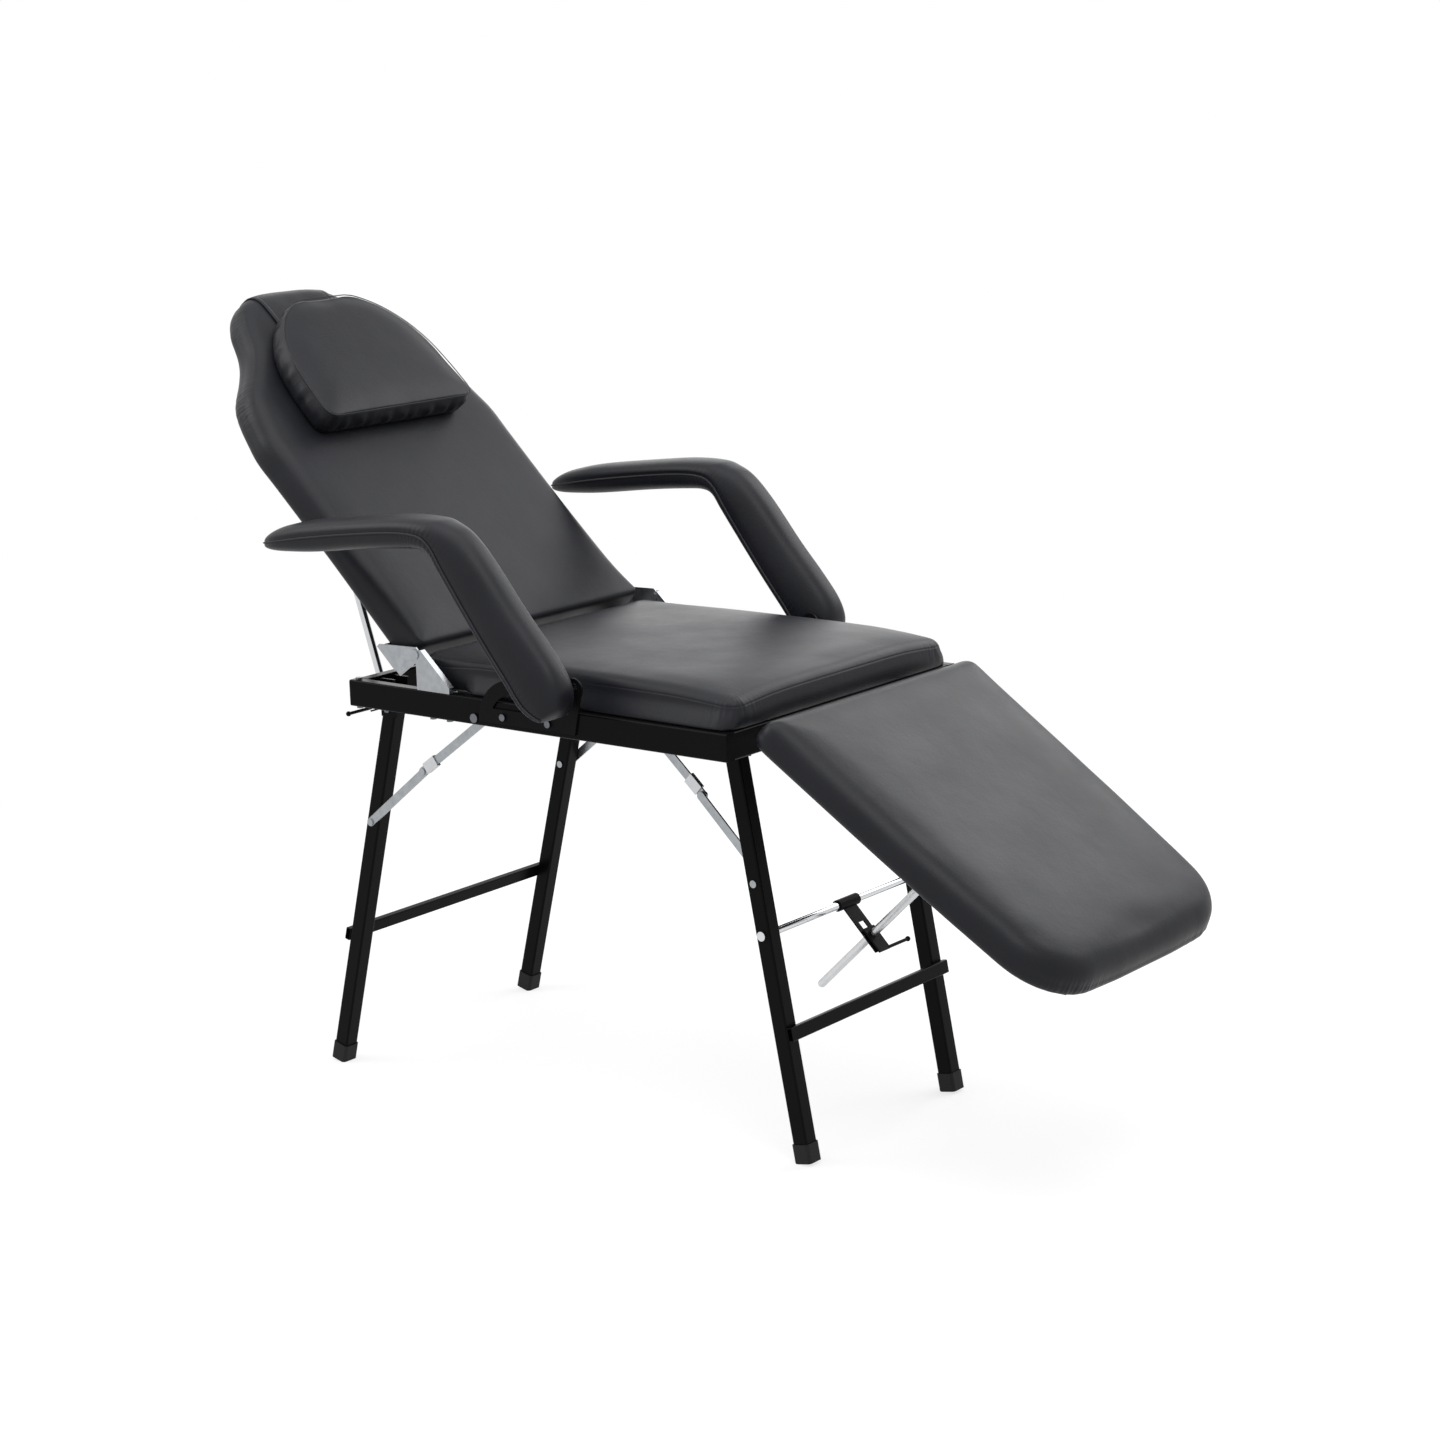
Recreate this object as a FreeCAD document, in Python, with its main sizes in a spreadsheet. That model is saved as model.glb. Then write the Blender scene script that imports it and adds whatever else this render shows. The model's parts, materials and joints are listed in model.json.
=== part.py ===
import FreeCAD, Part
import Sketcher
import math
import os
from types import SimpleNamespace

# A folding tattoo chair: a black tube frame on two pairs of folding legs, with a seat, a backrest
# with a head pillow, a leg rest and two curved armrests. Lengths are in millimetres, angles in
# degrees. Places are counted from the rear end of the frame rails (x), the middle plane (y) and
# the floor (z); the whole chair is then moved so that its origin lies on the floor under the
# middle of its box.

os.makedirs("parts", exist_ok=True)
doc = FreeCAD.newDocument("TattooChair")
V = FreeCAD.Vector

SIZES = {
    # Frame ring
    "origin_x": 404.5,
    "rail_length": 715.0,
    "rail_height": 40.0,
    "rail_width": 20.0,
    "rail_wall": 1.5,
    "rail_corner": 3.0,
    "frame_half_width": 281.0,
    "rail_bottom": 596.5,
    "seat_bar_drop": 28.0,
    "seat_bar_width": 20.0,
    "rear_seat_bar_x": 160.0,
    "middle_seat_bar_setback": 21.0,
    # Legs
    "leg_width": 25.0,
    "leg_wall": 1.5,
    "leg_corner": 3.0,
    "rear_leg_inset": 28.0,
    "front_leg_inset": 65.0,
    "rear_pivot_x": 34.0,
    "rear_pivot_drop": 8.5,
    "front_pivot_setback": 60.0,
    "front_pivot_drop": 4.5,
    "rear_leg_lean": 14.5,
    "front_leg_lean": 10.7,
    "foot_cap_wall": 2.0,
    "foot_cap_height": 28.0,
    "foot_cap_corner": 5.0,
    "foot_level": 1.2,
    "crossbar_height": 20.0,
    "crossbar_depth": 10.0,
    "crossbar_corner": 2.0,
    "rear_crossbar_along": 400.0,
    "front_crossbar_along": 422.5,
    # Leg pivots
    "cheek_thickness": 3.0,
    "cheek_width": 32.0,
    "cheek_below_pivot": 13.0,
    "cheek_gap": 0.3,
    "leg_bolt_radius": 4.0,
    "leg_bolt_clearance": 0.08,
    "bolt_head_height": 3.5,
    "bolt_head_ratio": 1.75,
    # Folding stays
    "stay_width": 13.0,
    "stay_thickness": 3.0,
    "stay_gap": 0.3,
    "knee_gap": 2.5,
    "rivet_radius": 3.0,
    "rivet_clearance": 0.06,
    "rivet_head_radius": 5.5,
    "rivet_head_height": 2.0,
    "rear_stay_top_ahead": 219.0,
    "rear_stay_top_rise": 10.5,
    "rear_stay_knee_ahead": 71.0,
    "rear_stay_knee_drop": 107.0,
    "rear_stay_foot_setback": 49.0,
    "rear_stay_foot_drop": 184.0,
    "front_stay_top_setback": 184.0,
    "front_stay_top_rise": 10.5,
    "front_stay_knee_setback": 75.0,
    "front_stay_knee_drop": 98.0,
    "front_stay_foot_ahead": 36.0,
    "front_stay_foot_drop": 190.0,
    "sleeve_length": 26.0,
    "sleeve_wall": 1.8,
    "sleeve_clearance": 0.3,
    "sleeve_from_knee": 9.0,
    # Backrest hinges
    "recline": 44.0,
    "back_pivot_x": 139.0,
    "back_pivot_rise": 52.5,
    "hinge_sheet": 2.0,
    "hinge_gap": 0.3,
    "hinge_flange_width": 18.0,
    "hinge_lip_width": 10.0,
    "hinge_rivet_radius": 4.0,
    "hinge_rivet_head": 7.0,
    "hinge_lobe": 7.5,
    "fixed_plate_ahead": 65.0,
    "fixed_plate_nose": 9.0,
    "fixed_plate_setback": 1.0,
    "fixed_plate_shoulder": 3.0,
    "moving_plate_length": 60.0,
    "moving_plate_tail": 4.0,
    "moving_flange_width": 53.0,
    "moving_flange_setback": 12.0,
    "hinge_bolt_radius": 3.0,
    "hinge_bolt_rear_ahead": 22.0,
    "hinge_bolt_front_ahead": 55.0,
    "corner_bolt_x": 11.0,
    # Cushions
    "pad_thickness": 50.0,
    "board_thickness": 10.0,
    "board_inset": 14.0,
    "soft_gap": 0.3,
    "pad_inset": 24.0,
    "pad_side_bulge": 3.0,
    "pad_top_radius": 11.0,
    "pad_crown": 3.5,
    "least_crown": 0.4,
    "station_gap": 1.0,
    "pad_end_radius": 11.0,
    "seat_rear_setback": 8.5,
    "seat_front_setback": 1.0,
    "back_length": 723.0,
    # Head pillow and its strap
    "pillow_bottom_before_end": 307.0,
    "pillow_length": 234.0,
    "pillow_half_width": 163.0,
    "pillow_thickness": 47.0,
    "pillow_corner": 9.0,
    "strap_half_width": 76.0,
    "strap_thickness": 2.5,
    "strap_front_before_end": 178.0,
    "strap_back_before_end": 163.0,
    # Leg rest
    "leg_rest_slope": 33.6,
    "leg_rest_hinge_ahead": 5.5,
    "leg_rest_hinge_rise": 19.5,
    "leg_rest_drop": 15.0,
    "leg_rest_start": 6.0,
    "leg_rest_end": 570.0,
    "leg_rest_tip_half_width": 240.0,
    "leg_rest_corner": 98.0,
    "leg_rest_roll": 26.0,
    "hinge_barrel_radius": 5.5,
    "hinge_barrel_length": 22.0,
    "hinge_pin_radius": 2.5,
    "hinge_pin_clearance": 0.06,
    "hinge_leaf": 2.0,
    "hinge_leaf_height": 30.0,
    "hinge_leaf_length": 58.0,
    "hinge_side_place": 165.0,
    # Leg rest prop and backrest prop
    "prop_bar_radius": 6.0,
    "prop_rod_radius": 6.25,
    "prop_reach": 61.0,
    "clamp_clearance": 0.08,
    "clamp_wall": 2.5,
    "clamp_length": 48.0,
    "clamp_strip_width": 30.0,
    "clamp_strip_length": 90.0,
    "clamp_slot_clearance": 0.35,
    "clamp_slot_before": 26.0,
    "jam_plate": 3.0,
    "jam_width": 26.0,
    "jam_gap": 2.0,
    "jam_above": 12.0,
    "jam_below": 30.0,
    "handle_radius": 2.5,
    "handle_length": 50.0,
    "rod_eye_radius": 8.0,
    "rod_eye_width": 12.0,
    "rod_pin_radius": 4.0,
    "rod_pin_clearance": 0.08,
    "fork_sheet": 3.0,
    "fork_gap": 0.4,
    "fork_foot_length": 50.0,
    "fork_foot_width": 46.0,
    "fork_cheek_width": 24.0,
    "leg_prop_y": 8.0,
    "leg_prop_bar_ahead": 49.0,
    "leg_prop_bar_drop": 264.0,
    "leg_prop_pin_ahead": 214.5,
    "leg_prop_pin_drop": 148.0,
    "leg_prop_rod_length": 395.0,
    "back_prop_y": -150.0,
    "back_prop_bar_x": 10.0,
    "back_prop_bar_drop": 12.5,
    "back_prop_bar_half": 34.0,
    "back_prop_pin_along": 337.0,
    "back_prop_pin_depth": 62.0,
    "back_prop_rod_length": 376.0,
    # Armrests and their brackets
    "armrest_outset": 46.0,
    "armrest_half_width": 38.5,
    "armrest_reach": 550.0,
    "armrest_rise": 237.0,
    "armrest_crown": 0.5,
    "armrest_pivot_x": 446.0,
    "armrest_pivot_rise": 34.5,
    "armrest_bolt_radius": 4.0,
    "armrest_bolt_clearance": 0.08,
    "armrest_bolt_depth": 26.0,
    "armrest_washer_radius": 10.0,
    "bracket_thickness": 3.0,
    "bracket_arch_setback": 116.0,
    "bracket_foot_rise": 7.5,
    "bracket_outer_radius": 67.0,
    "bracket_inner_radius": 45.0,
    "bracket_base_height": 22.0,
    "bracket_lobe_radius": 16.0,
    "bracket_screw_rear_setback": 135.0,
    "bracket_screw_front_setback": 49.0,
    "bracket_screw_rise": 18.5,
    "bracket_screw_radius": 3.0,
    # Shared allowance for cuts that run right through what they cut
    "overrun": 5.0,
}


def make_sheet():
    """Put the sizes in a spreadsheet, one named cell each."""
    cells = doc.addObject("Spreadsheet::Sheet", "Sizes")
    for row, (name, value) in enumerate(SIZES.items(), 1):
        cells.set(f"A{row}", name)
        cells.set(f"B{row}", str(value))
        cells.setAlias(f"B{row}", name)
    doc.recompute()
    return cells


sheet = make_sheet()


class Size(float):
    """A number that remembers how it was worked out from the sheet's cells."""

    def __new__(cls, value, text):
        made = super().__new__(cls, value)
        made.text = text
        return made

    def joined(self, sign, other, value, swap=False):
        own, far = self.text, text_of(other)
        left, right = (far, own) if swap else (own, far)
        return Size(value, f"({left} {sign} {right})")

    def __add__(self, other):
        return self.joined("+", other, float(self) + float(other))

    def __radd__(self, other):
        return self.joined("+", other, float(other) + float(self), swap=True)

    def __sub__(self, other):
        return self.joined("-", other, float(self) - float(other))

    def __rsub__(self, other):
        return self.joined("-", other, float(other) - float(self), swap=True)

    def __mul__(self, other):
        return self.joined("*", other, float(self) * float(other))

    def __rmul__(self, other):
        return self.joined("*", other, float(other) * float(self), swap=True)

    def __truediv__(self, other):
        return self.joined("/", other, float(self) / float(other))

    def __neg__(self):
        return Size(-float(self), f"(0 - {self.text})")


def cosine(degrees):
    """The cosine of an angle of the sheet."""
    return Size(math.cos(math.radians(degrees)), f"cos({degrees.text} * 1 deg)")


def sine(degrees):
    """The sine of an angle of the sheet."""
    return Size(math.sin(math.radians(degrees)), f"sin({degrees.text} * 1 deg)")


def text_of(number):
    """The sheet expression of a size, or a plain number as text."""
    return number.text if isinstance(number, Size) else repr(float(number))


dim = SimpleNamespace(**{name: Size(float(sheet.get(name)), f"Sizes.{name}") for name in SIZES})

rail_top = dim.rail_bottom + dim.rail_height
rail_inside = dim.frame_half_width - dim.rail_width
seat_bar_bottom = rail_top - dim.seat_bar_drop

# Places that follow from the rails, from a pivot or from a hinge, each with its own distance
dim.rear_leg_outside = rail_inside - dim.rear_leg_inset
dim.front_leg_outside = rail_inside - dim.front_leg_inset
dim.pad_half_width = dim.frame_half_width - dim.pad_inset
dim.armrest_y = dim.frame_half_width + dim.armrest_outset
dim.pillow_bottom_along = dim.back_length - dim.pillow_bottom_before_end
dim.strap_front_along = dim.back_length - dim.strap_front_before_end
dim.strap_back_along = dim.back_length - dim.strap_back_before_end
dim.front_pivot_x = dim.rail_length - dim.front_pivot_setback
dim.rear_pivot_height = dim.rail_bottom - dim.rear_pivot_drop
dim.front_pivot_height = dim.rail_bottom - dim.front_pivot_drop
dim.rear_stay_top_x = dim.rear_pivot_x + dim.rear_stay_top_ahead
dim.rear_stay_top_height = dim.rail_bottom + dim.rear_stay_top_rise
dim.rear_stay_knee_x = dim.rear_pivot_x + dim.rear_stay_knee_ahead
dim.rear_stay_knee_height = dim.rear_stay_top_height - dim.rear_stay_knee_drop
dim.rear_stay_foot_x = dim.rear_pivot_x - dim.rear_stay_foot_setback
dim.rear_stay_foot_height = dim.rear_pivot_height - dim.rear_stay_foot_drop
dim.front_stay_top_x = dim.front_pivot_x - dim.front_stay_top_setback
dim.front_stay_top_height = dim.rail_bottom + dim.front_stay_top_rise
dim.front_stay_knee_x = dim.front_pivot_x - dim.front_stay_knee_setback
dim.front_stay_knee_height = dim.front_stay_top_height - dim.front_stay_knee_drop
dim.front_stay_foot_x = dim.front_pivot_x + dim.front_stay_foot_ahead
dim.front_stay_foot_height = dim.front_pivot_height - dim.front_stay_foot_drop
dim.middle_seat_bar_x = dim.front_stay_top_x - dim.middle_seat_bar_setback
dim.back_pivot_height = rail_top + dim.back_pivot_rise
dim.fixed_plate_front_x = dim.back_pivot_x + dim.fixed_plate_ahead
dim.hinge_bolt_rear_x = dim.back_pivot_x + dim.hinge_bolt_rear_ahead
dim.hinge_bolt_front_x = dim.back_pivot_x + dim.hinge_bolt_front_ahead
dim.seat_rear_x = dim.back_pivot_x - dim.seat_rear_setback
dim.seat_front_x = dim.rail_length - dim.seat_front_setback
dim.leg_rest_hinge_x = dim.rail_length + dim.leg_rest_hinge_ahead
dim.leg_rest_hinge_height = dim.rail_bottom + dim.leg_rest_hinge_rise
dim.leg_prop_bar_x = dim.front_pivot_x + dim.leg_prop_bar_ahead
dim.leg_prop_bar_height = dim.front_pivot_height - dim.leg_prop_bar_drop
dim.leg_prop_pin_x = dim.leg_rest_hinge_x + dim.leg_prop_pin_ahead
dim.leg_prop_pin_height = dim.leg_rest_hinge_height - dim.leg_prop_pin_drop
dim.back_prop_bar_height = dim.rail_bottom - dim.back_prop_bar_drop
dim.armrest_pivot_height = rail_top + dim.armrest_pivot_rise
dim.bracket_arch_x = dim.armrest_pivot_x - dim.bracket_arch_setback
dim.bracket_foot = dim.rail_bottom + dim.bracket_foot_rise
dim.bracket_front_x = dim.armrest_pivot_x
dim.bracket_screw_rear_x = dim.armrest_pivot_x - dim.bracket_screw_rear_setback
dim.bracket_screw_front_x = dim.armrest_pivot_x - dim.bracket_screw_front_setback
dim.bracket_screw_height = dim.rail_bottom + dim.bracket_screw_rise
SIDES = (("right", -1), ("left", 1))


def bind(item, prop, number):
    """Tie one property to the sheet, or set it where the number is plain."""
    if isinstance(number, Size):
        item.setExpression(prop, number.text)
    else:
        setattr(item, prop, number)


def put(item, x=0, y=0, z=0):
    """Move a building block to its place inside its sub-part."""
    item.Placement = FreeCAD.Placement(V(x, y, z), item.Placement.Rotation)
    for axis, number in (("x", x), ("y", y), ("z", z)):
        if isinstance(number, Size):
            item.setExpression(f"Placement.Base.{axis}", number.text)
    return item


def block(length, width, height, x=0, y=0, z=0):
    """A rectangular block with its lowest corner at x, y, z."""
    box = doc.addObject("Part::Box", "Block")
    for prop, number in (("Length", length), ("Width", width), ("Height", height)):
        bind(box, prop, number)
    return put(box, x, y, z)


def round_bar(radius, length, direction, x=0, y=0, z=0):
    """A cylinder from x, y, z along a direction."""
    bar = doc.addObject("Part::Cylinder", "RoundBar")
    bind(bar, "Radius", radius)
    bind(bar, "Height", length)
    bar.Placement = FreeCAD.Placement(V(), FreeCAD.Rotation(V(0, 0, 1), direction))
    return put(bar, x, y, z)


def hexagon(radius, height, direction, x=0, y=0, z=0):
    """A six sided bolt head or nut."""
    prism = doc.addObject("Part::Prism", "Hexagon")
    prism.Polygon = 6
    bind(prism, "Circumradius", radius)
    bind(prism, "Height", height)
    prism.Placement = FreeCAD.Placement(V(), FreeCAD.Rotation(V(0, 0, 1), direction))
    return put(prism, x, y, z)


def fused(*pieces):
    """One piece made of several joined ones."""
    if len(pieces) == 1:
        return pieces[0]
    union = doc.addObject("Part::MultiFuse", "Joined")
    union.Shapes = list(pieces)
    union.Refine = True
    return union


def group(*pieces):
    """Several separate solids kept as one sub-part."""
    together = doc.addObject("Part::Compound", "Group")
    together.Links = list(pieces)
    return together


def cut(base, *tools):
    """A piece with other shapes taken away."""
    less = doc.addObject("Part::Cut", "Cut")
    less.Base = base
    less.Tool = fused(*tools)
    less.Refine = True
    return less


def origin_plane(body, role):
    """One of a body's three base planes, by its role."""
    return [feature for feature in body.Origin.OriginFeatures if feature.Role == role][0]


def start_sketch(body, role):
    """An empty sketch on one of the body's base planes."""
    sketch = body.newObject("Sketcher::SketchObject", "Outline")
    sketch.AttachmentSupport = [(origin_plane(body, role), "")]
    sketch.MapMode = "FlatFace"
    return sketch


def pin_point(sketch, edge, end, point):
    """Hold one end or centre of an edge at a place worked out from the sheet."""
    for kind, number in zip(("DistanceX", "DistanceY"), point):
        rule = sketch.addConstraint(Sketcher.Constraint(kind, -1, 1, edge, end, float(number)))
        if isinstance(number, Size):
            sketch.setExpression(f"Constraints[{rule}]", number.text)


def draw_polygon(sketch, corners):
    """A closed outline of straight lines through the corners."""
    count = len(corners)
    for near, far in zip(corners, corners[1:] + corners[:1]):
        sketch.addGeometry(Part.LineSegment(V(near[0], near[1], 0), V(far[0], far[1], 0)), False)
    for edge in range(count):
        sketch.addConstraint(Sketcher.Constraint("Coincident", edge, 2, (edge + 1) % count, 1))
        pin_point(sketch, edge, 1, corners[edge])


def draw_circles(sketch, holes):
    """Round holes, each given as centre and radius."""
    for edge, (across, up, radius) in enumerate(holes):
        sketch.addGeometry(Part.Circle(V(across, up, 0), V(0, 0, 1), float(radius)), False)
        pin_point(sketch, edge, 3, (across, up))
        rule = sketch.addConstraint(Sketcher.Constraint("Radius", edge, float(radius)))
        if isinstance(radius, Size):
            sketch.setExpression(f"Constraints[{rule}]", radius.text)


def take_away(body, role, draw, shapes):
    """Cut a drawing right through a body and make sure that it cut something."""
    before = body.Shape.Volume
    sketch = start_sketch(body, role)
    draw(sketch, shapes)
    pocket = body.newObject("PartDesign::Pocket", "Opening")
    pocket.Profile = sketch
    pocket.Type = 1
    pocket.Reversed = True
    doc.recompute()
    if body.Shape.Volume >= before:
        raise RuntimeError("an opening cut nothing")


def slab(role, corners, depth, rounding=None, wall=None, holes=()):
    """A flat outline given a depth, with rounded long edges, a bore for a tube and holes.

    The depth runs along +X for YZ_Plane, +Z for XY_Plane and -Y for XZ_Plane.
    """
    body = doc.addObject("PartDesign::Body", "Slab")
    sketch = start_sketch(body, role)
    draw_polygon(sketch, corners)
    pad = body.newObject("PartDesign::Pad", "Depth")
    pad.Profile = sketch
    bind(pad, "Length", depth)
    doc.recompute()
    if rounding is not None:
        along = {"YZ_Plane": V(1, 0, 0), "XY_Plane": V(0, 0, 1), "XZ_Plane": V(0, 1, 0)}[role]
        long_edges = [f"Edge{number}" for number, edge in enumerate(pad.Shape.Edges, 1)
                      if abs(edge.tangentAt(edge.FirstParameter).dot(along)) > 0.99]
        fillet = body.newObject("PartDesign::Fillet", "RoundEdges")
        fillet.Base = (pad, long_edges)
        bind(fillet, "Radius", rounding)
        doc.recompute()
    if wall is not None:
        (left, low), (right, _), (_, high), _ = corners
        bore = [(left + wall, low + wall), (right - wall, low + wall),
                (right - wall, high - wall), (left + wall, high - wall)]
        take_away(body, role, draw_polygon, bore)
    if holes:
        take_away(body, role, draw_circles, holes)
    return body


def rectangle(left, low, right, high):
    """The four corners of a rectangle."""
    return [(left, low), (right, low), (right, high), (left, high)]


def frame_at(x, z, degrees=0.0):
    """A place in the chair's own frame, turned about the crosswise axis."""
    return FreeCAD.Placement(V(x - dim.origin_x, 0, z), FreeCAD.Rotation(V(0, 1, 0), degrees))


ON_FRAME = frame_at(0, 0)
ON_REAR_LEGS = frame_at(dim.rear_pivot_x, dim.rear_pivot_height, dim.rear_leg_lean)
ON_FRONT_LEGS = frame_at(dim.front_pivot_x, dim.front_pivot_height, -dim.front_leg_lean)
ON_BACKREST = frame_at(dim.back_pivot_x, dim.back_pivot_height, dim.recline)
ON_LEG_REST = frame_at(dim.leg_rest_hinge_x, dim.leg_rest_hinge_height, dim.leg_rest_slope)

sub_parts = []


def keep(item, label, place):
    """Name a finished sub-part and put it in its place in the chair."""
    if item.Placement != FreeCAD.Placement() or item.ExpressionEngine:
        item = group(item)
    item.Label = label
    item.Placement = place
    sub_parts.append(item)


def keep_shape(shape, label, place):
    """Keep a shape worked out as a loft, in its place in the chair."""
    feature = doc.addObject("Part::Feature", label)
    feature.Shape = shape
    feature.Label = label
    feature.Placement = place
    sub_parts.append(feature)


def into(place, x, z):
    """A point of the chair's side view, as seen in the frame of a moving part."""
    point = place.inverse().multVec(V(x - dim.origin_x, 0, z))
    return point.x, point.z


# The frame ring: two side rails with closed ends and bars between them

HEAD = dim.bolt_head_ratio


def make_rails():
    half, bottom, top = dim.frame_half_width, dim.rail_bottom, rail_top
    middle = half - dim.rail_width / 2
    wall = dim.rail_wall
    for side, sign in SIDES:
        low_y, high_y = (-half, -rail_inside) if sign < 0 else (rail_inside, half)
        tube = slab("YZ_Plane", rectangle(low_y, bottom, high_y, top), dim.rail_length,
                    rounding=dim.rail_corner)
        bore = block(dim.rail_length - wall * 2, dim.rail_width - wall * 2,
                     dim.rail_height - wall * 2, wall, low_y + wall, bottom + wall)
        holes = [round_bar(dim.hinge_bolt_radius, dim.rail_height + dim.overrun * 2, V(0, 0, 1),
                           x, middle * sign, bottom - dim.overrun)
                 for x in (dim.corner_bolt_x, dim.hinge_bolt_rear_x, dim.hinge_bolt_front_x)]
        across = [(dim.bracket_screw_radius, dim.bracket_screw_rear_x, dim.bracket_screw_height),
                  (dim.bracket_screw_radius, dim.bracket_screw_front_x, dim.bracket_screw_height),
                  (dim.rivet_radius, dim.rear_stay_top_x, dim.rear_stay_top_height)]
        holes += [round_bar(radius, dim.rail_width + dim.overrun * 2, V(0, 1, 0),
                            x, low_y - dim.overrun, z) for radius, x, z in across]
        keep(cut(tube, bore, *holes), f"rail_{side}", ON_FRAME)


def make_cross_bar(low_x, bottom, width):
    """A tube between the rails, from its rear face and underside."""
    corners = rectangle(low_x, bottom, low_x + width, rail_top)
    return put(slab("XZ_Plane", corners, rail_inside * 2, rounding=dim.rail_corner,
                    wall=dim.rail_wall), y=rail_inside)


def make_cross_bars():
    keep(make_cross_bar(0, dim.rail_bottom, dim.rail_width), "rear_cross_bar", ON_FRAME)
    front_x = dim.rail_length - dim.rail_width
    keep(make_cross_bar(front_x, dim.rail_bottom, dim.rail_width), "front_cross_bar", ON_FRAME)
    half = dim.seat_bar_width / 2
    places = (dim.rear_seat_bar_x, dim.middle_seat_bar_x, dim.front_pivot_x)
    bars = [make_cross_bar(x - half, seat_bar_bottom, dim.seat_bar_width) for x in places]
    keep(group(*bars), "seat_cross_bars", ON_FRAME)


# Leg pivots: a pair of cheeks and a bolt at the top of each leg

rear_leg_inside = dim.rear_leg_outside - dim.leg_width
front_leg_inside = dim.front_leg_outside - dim.leg_width


def cheek(x_low, x_high, low, high, near_y, hole):
    """One cheek beside a leg, with the hole for its pivot bolt."""
    body = slab("XZ_Plane", rectangle(x_low, low, x_high, high), dim.cheek_thickness,
                holes=[hole])
    return put(body, y=near_y + dim.cheek_thickness)


def make_leg_pivots():
    sheet_thick, gap = dim.cheek_thickness, dim.cheek_gap
    half = dim.cheek_width / 2
    rear = (dim.rear_pivot_x, dim.rear_pivot_height, dim.leg_bolt_radius)
    front = (dim.front_pivot_x, dim.front_pivot_height, dim.leg_bolt_radius)
    rear_low = dim.rear_pivot_height - dim.cheek_below_pivot
    front_low = dim.front_pivot_height - dim.cheek_below_pivot
    cheeks = []
    bolts = []
    for outside, inside, hole, low, high, x_low, x_high in (
            (dim.rear_leg_outside, rear_leg_inside, rear, rear_low, rail_top - dim.rail_corner,
             dim.rail_width, dim.rear_pivot_x + half),
            (dim.front_leg_outside, front_leg_inside, front, front_low, seat_bar_bottom,
             dim.front_pivot_x - half, dim.front_pivot_x + half)):
        x, z, radius = hole
        for _, sign in SIDES:
            for near in (outside + gap, inside - gap - sheet_thick):
                near_y = near if sign > 0 else -near - sheet_thick
                cheeks.append(cheek(x_low, x_high, low, high, near_y, hole))
            length = outside - inside + (gap + sheet_thick) * 2
            head = dim.bolt_head_height
            start = inside - gap - sheet_thick
            near_y = start if sign > 0 else -start - length
            bolts.append(fused(
                round_bar(radius, length, V(0, 1, 0), x, near_y, z),
                hexagon(radius * HEAD, head, V(0, 1, 0), x, near_y - head, z),
                hexagon(radius * HEAD, head, V(0, 1, 0), x, near_y + length, z)))
    keep(group(*cheeks), "leg_pivot_cheeks", ON_FRAME)
    keep(group(*bolts), "leg_pivot_bolts", ON_FRAME)


# Legs with their foot caps and crossbars, drawn hanging straight down from the pivot

def under_floor(place):
    """A block under the floor, as seen in the frame of a leg."""
    span = dim.rail_length
    box = block(span * 2, span * 2, dim.foot_cap_height)
    world = FreeCAD.Placement(V(place.Base.x - span, -span, -dim.foot_cap_height),
                              FreeCAD.Rotation())
    box.Placement = place.inverse().multiply(world)
    return box


def make_leg(outside, length, place, stay_foot, sign):
    """A square tube with a round top, bored for its pivot bolt and its stay's rivet."""
    half, width = dim.leg_width / 2, dim.leg_width
    low_y = outside - width if sign > 0 else -outside
    straight = slab("XY_Plane", rectangle(-half, low_y, half, low_y + width), length,
                    rounding=dim.leg_corner, wall=dim.leg_wall)
    put(straight, z=-length)
    top = round_bar(half, width, V(0, 1, 0), 0, low_y, 0)
    through = width + dim.overrun * 2
    bore = round_bar(dim.leg_bolt_radius + dim.leg_bolt_clearance, through, V(0, 1, 0),
                     0, low_y - dim.overrun, 0)
    foot_x, foot_z = into(place, *stay_foot)
    hole = round_bar(dim.rivet_radius + dim.rivet_clearance, through, V(0, 1, 0))
    hole.Placement.Base = V(foot_x, low_y - dim.overrun, foot_z)
    return cut(fused(straight, top), bore, hole)


def make_foot_cap(outside, length, place, sign):
    """A moulded cap round the end of a leg, worn level where it meets the floor."""
    wall, half = dim.foot_cap_wall, dim.leg_width / 2
    low_y = outside - dim.leg_width if sign > 0 else -outside
    outer = slab("XY_Plane", rectangle(-half - wall, low_y - wall, half + wall,
                                       low_y + dim.leg_width + wall),
                 dim.foot_cap_height, rounding=dim.foot_cap_corner)
    put(outer, z=-length - wall)
    tube = slab("XY_Plane", rectangle(-half, low_y, half, low_y + dim.leg_width),
                dim.foot_cap_height, rounding=dim.leg_corner)
    put(tube, z=-length)
    return cut(outer, tube, under_floor(place))


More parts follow.
